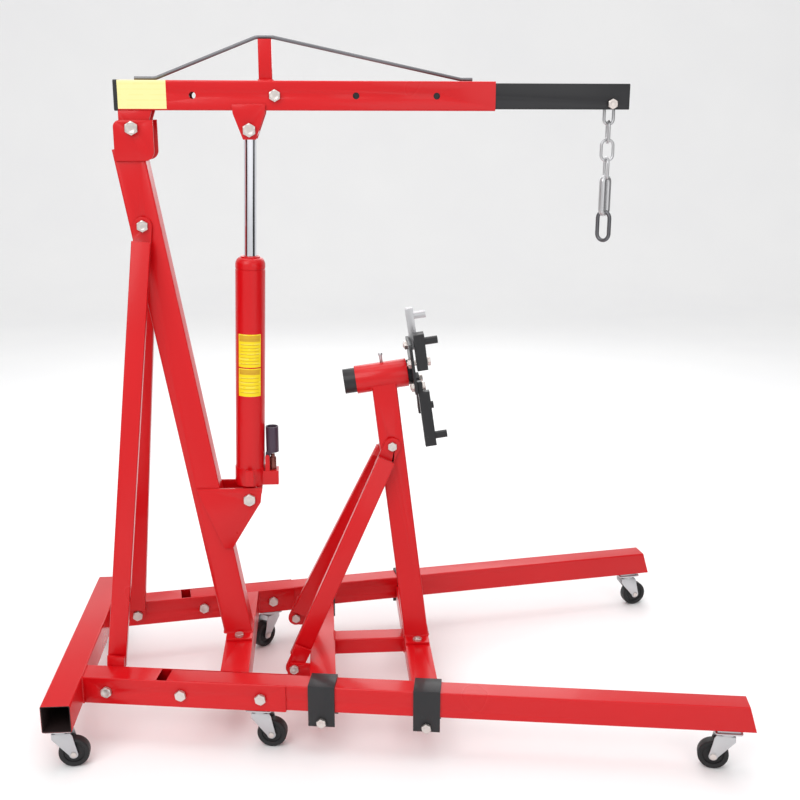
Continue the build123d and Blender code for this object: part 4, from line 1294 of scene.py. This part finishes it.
@dataclass(frozen=True)
class WireLink:
    """A closed loop of round wire, such as a chain link.

    Attributes:
        node: The CAD node with the loops.
        body: The body that they ride on.
        finish: Their surface.
        facets: Facets round the wire.
    """

    node: str
    body: str
    finish: Finish
    facets: int = 16

    def build(self) -> None:
        """Follow each loop's centre line and sweep its wire along it."""
        loops: dict[float, list[list[Vector]]] = {}
        for solid in solids_of(self.node):
            normal, across, along = solid.axes
            wire = (solid.reach(normal)[1] - solid.reach(normal)[0]) / 2
            length = (solid.reach(along)[1] - solid.reach(along)[0]) / 2 - wire
            width = (solid.reach(across)[1] - solid.reach(across)[0]) / 2 - wire
            straight = length - width
            path = arc((straight, 0.0), width, -90, 90, 14) + arc(
                (-straight, 0.0), width, 90, 270, 14
            )
            spots = [solid.centre + along * u + across * v for u, v in path]
            loops.setdefault(round(wire, 5), []).append(spots)
        parts = []
        for wire, paths in sorted(loops.items()):
            line = curve_of("loops", paths, closed=True)
            parts.append(
                bent_bar_recipe().run(
                    line, Radius=wire, Facets=self.facets, Finish=self.finish.material()
                )
            )
        hand_over(joined("bent_" + self.node, parts), self.body, self.finish, (self.node,))


@dataclass(frozen=True)
class WrappedLabel:
    """A film label on a round tube: a field with a header and plain bars.

    Attributes:
        name: The piece's name.
        body: The body that it rides on.
        low: Height of its lower edge.
        high: Height of its upper edge.
        width: Its width round the tube.
        bars: How many plain bars it carries.
    """

    name: str
    body: str
    low: float
    high: float
    width: float
    bars: int

    def patch(
        self,
        place: Matrix,
        radius: float,
        low: float,
        high: float,
        half: float,
        lift: float,
        finish: Finish,
    ):
        """Make one curved patch.

        Args:
            place: The tube's placement, with local x towards the label.
            radius: The tube's radius.
            low: Lower edge along the tube.
            high: Upper edge along the tube.
            half: Half the patch's width round the tube.
            lift: Height over the tube.
            finish: The patch's colour.

        Returns:
            The patch.
        """
        bm = bmesh.new()
        steps, skin = 20, 0.12 * MM
        shells = []
        for away in (radius + lift, radius + lift + skin):
            columns = []
            for n in range(steps + 1):
                a = (2 * n / steps - 1) * half / radius
                columns.append(
                    [
                        bm.verts.new(place @ Vector((away * math.cos(a), away * math.sin(a), z)))
                        for z in (low, high)
                    ]
                )
            shells.append(columns)
        inner, outer = shells
        for n in range(steps):
            bm.faces.new([outer[n][0], outer[n + 1][0], outer[n + 1][1], outer[n][1]])
            bm.faces.new([inner[n][0], inner[n][1], inner[n + 1][1], inner[n + 1][0]])
            bm.faces.new([inner[n][0], inner[n + 1][0], outer[n + 1][0], outer[n][0]])
            bm.faces.new([inner[n][1], outer[n][1], outer[n + 1][1], inner[n + 1][1]])
        bm.faces.new([inner[0][0], outer[0][0], outer[0][1], inner[0][1]])
        bm.faces.new([inner[-1][0], inner[-1][1], outer[-1][1], outer[-1][0]])
        piece = settled(from_bmesh("patch", bm))
        piece.data.materials.append(finish.material())
        return piece

    def build(self, place: Matrix, radius: float) -> None:
        """Make the field, its header and its bars on a tube."""
        lift = 0.05 * MM
        half, tall = self.width / 2, self.high - self.low
        parts = [self.patch(place, radius, self.low, self.high, half, lift, YELLOW)]
        header = self.high - 0.22 * tall
        inset = 2.5 * MM
        parts.append(
            self.patch(place, radius, header, self.high - inset, half - inset, lift + 0.1 * MM, INK)
        )
        pitch = (header - self.low) / (self.bars + 1)
        for n in range(self.bars):
            middle_z = self.low + pitch * (n + 1)
            parts.append(
                self.patch(
                    place,
                    radius,
                    middle_z - 0.7 * MM,
                    middle_z + 0.7 * MM,
                    half - 6 * MM,
                    lift + 0.1 * MM,
                    INK,
                )
            )
        hand_over(joined(self.name, parts), self.body, YELLOW)


@dataclass(frozen=True)
class Ram:
    """The hydraulic ram: barrel with its gland, chromed rod, pump parts and labels.

    Attributes:
        bore: Radius inside the barrel.
        rod: Radius of the rod.
        gland: From the barrel's top to the groove under its gland.
        dome: Height of the rounded shoulder.
        upper_label: Heights over the floor of the upper label's edges.
        lower_label: Heights over the floor of the lower label's edges.
        label_width: Width of both labels round the barrel.
    """

    bore: float = 30.1 * MM
    rod: float = 14.2 * MM
    gland: float = 30.0 * MM
    dome: float = 20.0 * MM
    upper_label: tuple[float, float] = (838 * MM, 915 * MM)
    lower_label: tuple[float, float] = (769 * MM, 835 * MM)
    label_width: float = 56 * MM

    def axis_frame(self) -> tuple[Matrix, float, float, float]:
        """Return the barrel's placement, its two ends along it and its radius."""
        up = -axis_of("ram_extend")
        low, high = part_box("ram_cylinder")
        radius = (high.y - low.y) / 2
        top = pivot("ram_swing")
        lean = radius * abs(up.x)
        start = (low.z + lean - top.z) / up.z
        end = (high.z - lean - top.z) / up.z
        return placed(top, Vector((0, -1, 0)), up), start, end, radius

    def build(self) -> None:
        """Make the ram's pieces."""
        place, start, end, radius = self.axis_frame()
        groove = end - self.gland
        outline = [
            (self.bore, start), (radius - 1 * MM, start), (radius, start + 1 * MM), (radius, groove)
        ]
        outline += [
            (radius - 1.1 * MM, groove + 0.8 * MM),
            (radius - 1.1 * MM, groove + 2.4 * MM),
            (radius, groove + 3.2 * MM),
        ]
        lip = self.rod + 8 * MM
        rise = self.dome - 3 * MM
        outline += [
            (lip + (radius - lip) * u, end - self.dome + rise * v) for u, v in arc(
                (0.0, 0.0), 1.0, 0, 82, 12
            )
        ]
        outline += [(lip, end - 3 * MM), (lip, end - 0.8 * MM), (lip - 0.8 * MM, end)]
        outline += [(self.rod + 3 * MM, end), (self.rod, end - 1.5 * MM), (self.rod, end - 12 * MM)]
        outline += [(self.bore, end - 12 * MM), (self.bore, start)]
        barrel = settled(lathe("ram_barrel", outline, place, 72), 30)
        hand_over(barrel, "ram_body", RED, ("ram_cylinder",))
        hand_over(softened("ram_rod", 0.8 * MM), "ram_piston", CHROME, ("ram_rod",))
        hand_over(softened("ram_base", 1.2 * MM), "ram_body", RED, ("ram_base",))
        hand_over(softened("pump_plunger", 0.6 * MM), "plunger", OILED, ("pump_plunger",))
        hand_over(
            softened("pump_handle_socket", 1.0 * MM),
            "handle_socket",
            SOCKET,
            ("pump_handle_socket",),
        )
        hand_over(softened("release_valve", 0.8 * MM), "valve", RED, ("release_valve",))
        foot = pivot("ram_swing").z
        for name, (low, high), bars in (
            ("upper_label", self.upper_label, 7),
            ("lower_label", self.lower_label, 5),
        ):
            label = WrappedLabel(name, "ram_body", low - foot, high - foot, self.label_width, bars)
            label.build(place, radius)


@dataclass(frozen=True)
class BoomTrim:
    """What the boom carries beyond its tubes: the end plug and the plain side label.

    Attributes:
        wall: The boom tube's wall.
        label_start: From the boom's rear end to the label.
        label_length: The label's length.
        cap_length: How far the end cap's rim laps over the tube.
    """

    wall: float = 3.0 * MM
    label_start: float = 7.0 * MM
    label_length: float = 103.0 * MM
    cap_length: float = 7.0 * MM

    def build(self) -> None:
        """Make the plug and the label."""
        low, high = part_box("boom_tube")
        half = (high.y - low.y) / 2 - self.wall - 0.2 * MM
        centre_z = (low.z + high.z) / 2
        outward = placed(Vector((low.x, 0, centre_z)), Vector((0, 1, 0)), Vector((-1, 0, 0)))
        rounded = rounded_square(half, 4 * MM)
        plug = bevelled(slab("boom_end_plug", rounded, -12 * MM, -1.2 * MM, outward), 1.2 * MM)
        flange = rounded_square((high.y - low.y) / 2 + 1.0 * MM, 5 * MM)
        cap = bevelled(slab("boom_cap_rim", flange, -self.cap_length, 1.6 * MM, outward), 0.8 * MM)
        hand_over(joined("boom_end_cap", [plug, cap]), "boom", CAP)
        near = low.y
        x_start = low.x + self.label_start
        x_end = x_start + self.label_length
        section = [(near - 0.06 * MM, low.z + 3.2 * MM), (near - 0.06 * MM, high.z - 4.5 * MM)]
        section += [
            (near + 4.4 * MM + u, high.z - 4.5 * MM + v)
            for u, v in arc((0, 0), 4.52 * MM, 170, 92, 6)
        ]
        section += [(near + 26 * MM, high.z + 0.06 * MM)]
        bm = bmesh.new()
        rows = []
        for x in (x_start, x_end):
            rows.append([bm.verts.new((x, y, z)) for y, z in section])
            rows.append([bm.verts.new((x, y - 0.1 * MM, z + 0.1 * MM)) for y, z in section])
        count = len(section)
        for n in range(count - 1):
            bm.faces.new([rows[1][n], rows[3][n], rows[3][n + 1], rows[1][n + 1]])
            bm.faces.new([rows[0][n], rows[0][n + 1], rows[2][n + 1], rows[2][n]])
            bm.faces.new([rows[0][n], rows[1][n], rows[1][n + 1], rows[0][n + 1]])
            bm.faces.new([rows[2][n], rows[2][n + 1], rows[3][n + 1], rows[3][n]])
        for n in (0, count - 1):
            bm.faces.new([rows[0][n], rows[2][n], rows[3][n], rows[1][n]])
        hand_over(settled(from_bmesh("boom_label", bm)), "boom", CREAM)


@dataclass(frozen=True)
class Studio:
    """The pale floor, the soft lights and the camera.

    Attributes:
        eye: Where the camera stands.
        gaze: The direction that it looks in.
        lens: Focal length in millimetres on a 36 mm sensor.
        roll: Its roll in degrees.
    """

    eye: Vector = Vector((-0.1607, -2.5083, 1.4274))
    gaze: Vector = Vector((0.07081, 0.96266, -0.26129))
    lens: float = 49.5
    roll: float = 0.16

    def build(self) -> None:
        """Set the floor, the lights, the world and the camera."""
        self.floor()
        self.light("key", Vector((-1.8, -2.6, 3.4)), 2.6, 62.0)
        self.light("fill", Vector((1.6, -3.2, 1.8)), 2.2, 14.0)
        self.light("top", Vector((0.0, 0.4, 4.2)), 3.2, 62.0)
        self.light("back", Vector((0.4, 3.2, 2.6)), 2.4, 30.0)
        self.flag("flag_right", 3.2)
        self.flag("flag_left", -4.2)
        bpy.context.scene.view_settings.view_transform = "Standard"
        world = bpy.data.worlds.new("studio")
        world.use_nodes = True
        world.node_tree.nodes["Background"].inputs["Color"].default_value = (1.0, 1.0, 1.0, 1.0)
        world.node_tree.nodes["Background"].inputs["Strength"].default_value = 0.82
        bpy.context.scene.world = world
        self.camera()

    def flag(self, name: str, x: float) -> None:
        """Stand a dark card beside the set for the metal to reflect."""
        outline = [(-2.6, 0.0), (0.6, 0.0), (0.6, 2.6), (-2.6, 2.6)]
        place = placed(Vector((x, 0, 0)), Vector((0, 1, 0)), Vector((1, 0, 0)))
        card = settled(slab(name, outline, 0.0, 0.02, place))
        card.data.materials.append(CAP.material())

    def floor(self) -> None:
        """Lay a pale sheet that sweeps up far behind the object."""
        bm = bmesh.new()
        path = [(-6.0, 0.0), (5.0, 0.0)] + [
            (5.0 + u, 2.0 + v) for u, v in arc((0, 0), 2.0, -90, 0, 10)
        ] + [(7.0, 9.0)]
        rows = [[bm.verts.new((x, y, z)) for y, z in path] for x in (-12.0, 12.0)]
        for n in range(len(path) - 1):
            bm.faces.new([rows[0][n], rows[1][n], rows[1][n + 1], rows[0][n + 1]])
        floor = settled(from_bmesh("studio_floor", bm))
        for polygon in floor.data.polygons:
            polygon.use_smooth = True
        floor.data.materials.append(self.paper())

    def paper(self) -> bpy.types.Material:
        """Return the floor's pale matt material."""
        material = bpy.data.materials.new("studio_paper")
        material.use_nodes = True
        tree = material.node_tree
        surface = tree.nodes["Principled BSDF"]
        place = tree.nodes.new("ShaderNodeTexCoord").outputs["Object"]
        cloud = noise(tree, place, 1.5, 2.0)
        spread = remap(tree, cloud.outputs["Fac"], 0.3, 0.7, 0.0, 1.0)
        tree.links.new(
            blended(tree, spread, (0.93, 0.93, 0.93), (0.91, 0.91, 0.915)),
            surface.inputs["Base Color"],
        )
        tree.links.new(
            remap(tree, cloud.outputs["Fac"], 0.3, 0.7, 0.7, 0.8), surface.inputs["Roughness"]
        )
        return material

    def light(self, name: str, spot: Vector, size: float, power: float) -> None:
        """Hang one soft square light that faces the object."""
        data = bpy.data.lights.new(name, "AREA")
        data.size = size
        data.energy = power
        lamp = bpy.data.objects.new(name, data)
        lamp.location = spot
        lamp.rotation_euler = (Vector((0, 0, 0.7)) - spot).to_track_quat("-Z", "Y").to_euler()
        bpy.context.scene.collection.objects.link(lamp)

    def camera(self) -> None:
        """Place the camera."""
        data = bpy.data.cameras.new("camera")
        data.lens = self.lens
        data.sensor_width = 36.0
        eye = bpy.data.objects.new("camera", data)
        turn = self.gaze.to_track_quat("-Z", "Y").to_matrix().to_4x4()
        eye.matrix_world = Matrix.Translation(self.eye) @ turn @ Matrix.Rotation(
            math.radians(self.roll), 4, "Z"
        )
        bpy.context.scene.collection.objects.link(eye)
        bpy.context.scene.camera = eye


def base_seams() -> list[list[Vector]]:
    """Return the weld seams of the base and its stand."""
    up, ahead = Vector((0, 0, 1)), Vector((1, 0, 0))
    foot = FOOT_PLATE + WELD_GAP
    seams = []
    for post in ("mast", "stand_upright"):
        seams.append(outer_loop(post, Vector((0, 0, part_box(post)[0].z + foot)), up))
    for side in ("near", "far"):
        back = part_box("side_rail_" + side)[0].x + WELD_GAP
        seams.append(outer_loop("side_rail_" + side, Vector((back, 0, 0)), ahead))
    low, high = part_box("stand_centre_beam")
    for x in (low.x + WELD_GAP, high.x - WELD_GAP):
        seams.append(outer_loop("stand_centre_beam", Vector((x, 0, 0)), ahead))
    return seams


def boom_seams() -> list[list[Vector]]:
    """Return the weld seams of the boom: its post, and the upper edges of the ram's lugs."""
    tube_low, tube_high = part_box("boom_tube")
    seams = [outer_loop("truss_post", Vector((0, 0, tube_high.z + WELD_GAP)), Vector((0, 0, 1)))]
    for solid in solids_of("boom_lugs"):
        low, high = solid.points.min(axis=0), solid.points.max(axis=0)
        if high[2] > tube_low.z + 5 * MM:
            y = low[1] + 2 * MM if solid.centre.y > 0 else high[1] - 2 * MM
            seams.append(
                [Vector((low[0] + 2 * MM, y, high[2])), Vector((high[0] - 2 * MM, y, high[2]))]
            )
    return seams


CORNERS = ("rear_near", "rear_far", "mid_near", "mid_far", "front_near", "front_far")
ARMS = ("upper_far", "upper_near", "lower_near", "lower_far")


def main() -> None:
    """Build every sub-assembly in order, then the studio."""
    Studio().build()
    rear = softened("rear_cross_tube", 0.9 * MM)
    rear.data.materials.append(RED.material())
    # Painted shade on the rear tube's inner walls.
    shade_tube_inside(rear, (0, 2), TUBE_WALL)
    hand_over(rear, "base", RED, ("rear_cross_tube",))
    base = ("side_rail_near", "side_rail_far", "mid_cross_beam", "leg_near", "leg_far")
    post = ("mast", "mast_plates", "mast_brace_near", "mast_brace_far")
    stand = (
        "stand_front_beam",
        "stand_rear_beam",
        "stand_centre_beam",
        "stand_upright",
        "stand_head_tube",
    )
    braces = ("stand_brace_near", "stand_brace_far")
    Weldment("base", RED, base + post + stand + braces).build()
    Weldment("base", BLACK, ("stand_saddles",)).build()
    Weldment("base", ZINC, ("caster_plates",), 0.6 * MM).build()
    Weldment("boom", RED, ("boom_tube", "boom_lugs", "truss_post")).build()
    Weldment("boom", WIRE, ("truss_rod",), 0.3 * MM).build()
    Weldment("extension", BLACK, ("boom_extension",)).build()
    for node in ("frame_bolts", "boom_pivot_bolt", "stand_bolts"):
        Fasteners(node, "base").build()
    for node in ("ram_top_bolt", "reach_lock_bolt"):
        Fasteners(node, "boom").build()
    Fasteners("hook_bolt", "extension").build()
    Fasteners("arm_bolts", "rotating_head").build()
    WireLink("chain_links", "lifting_chain", GALVANISED).build()
    WireLink("load_ring", "ring", GUNMETAL).build()
    WeldSeams("base_welds", "base", RED, seed=3).build(base_seams())
    WeldSeams("boom_welds", "boom", RED, seed=5).build(boom_seams())
    Ram().build()
    BoomTrim().build()
    Weldment("rotating_head", BLACK, ("head_spindle", "face_plate")).build()
    Weldment("pin", ZINC, ("index_pin",), 0.4 * MM).build()
    for arm in ARMS:
        finish = ZINC if arm == "upper_far" else BLACK
        Weldment("engine_" + arm, finish, ("arm_" + arm,)).build()
    for corner in CORNERS:
        Caster(corner).build()


if __name__ == "__main__":
    logging.basicConfig(level=logging.INFO, format="%(message)s")
    main()
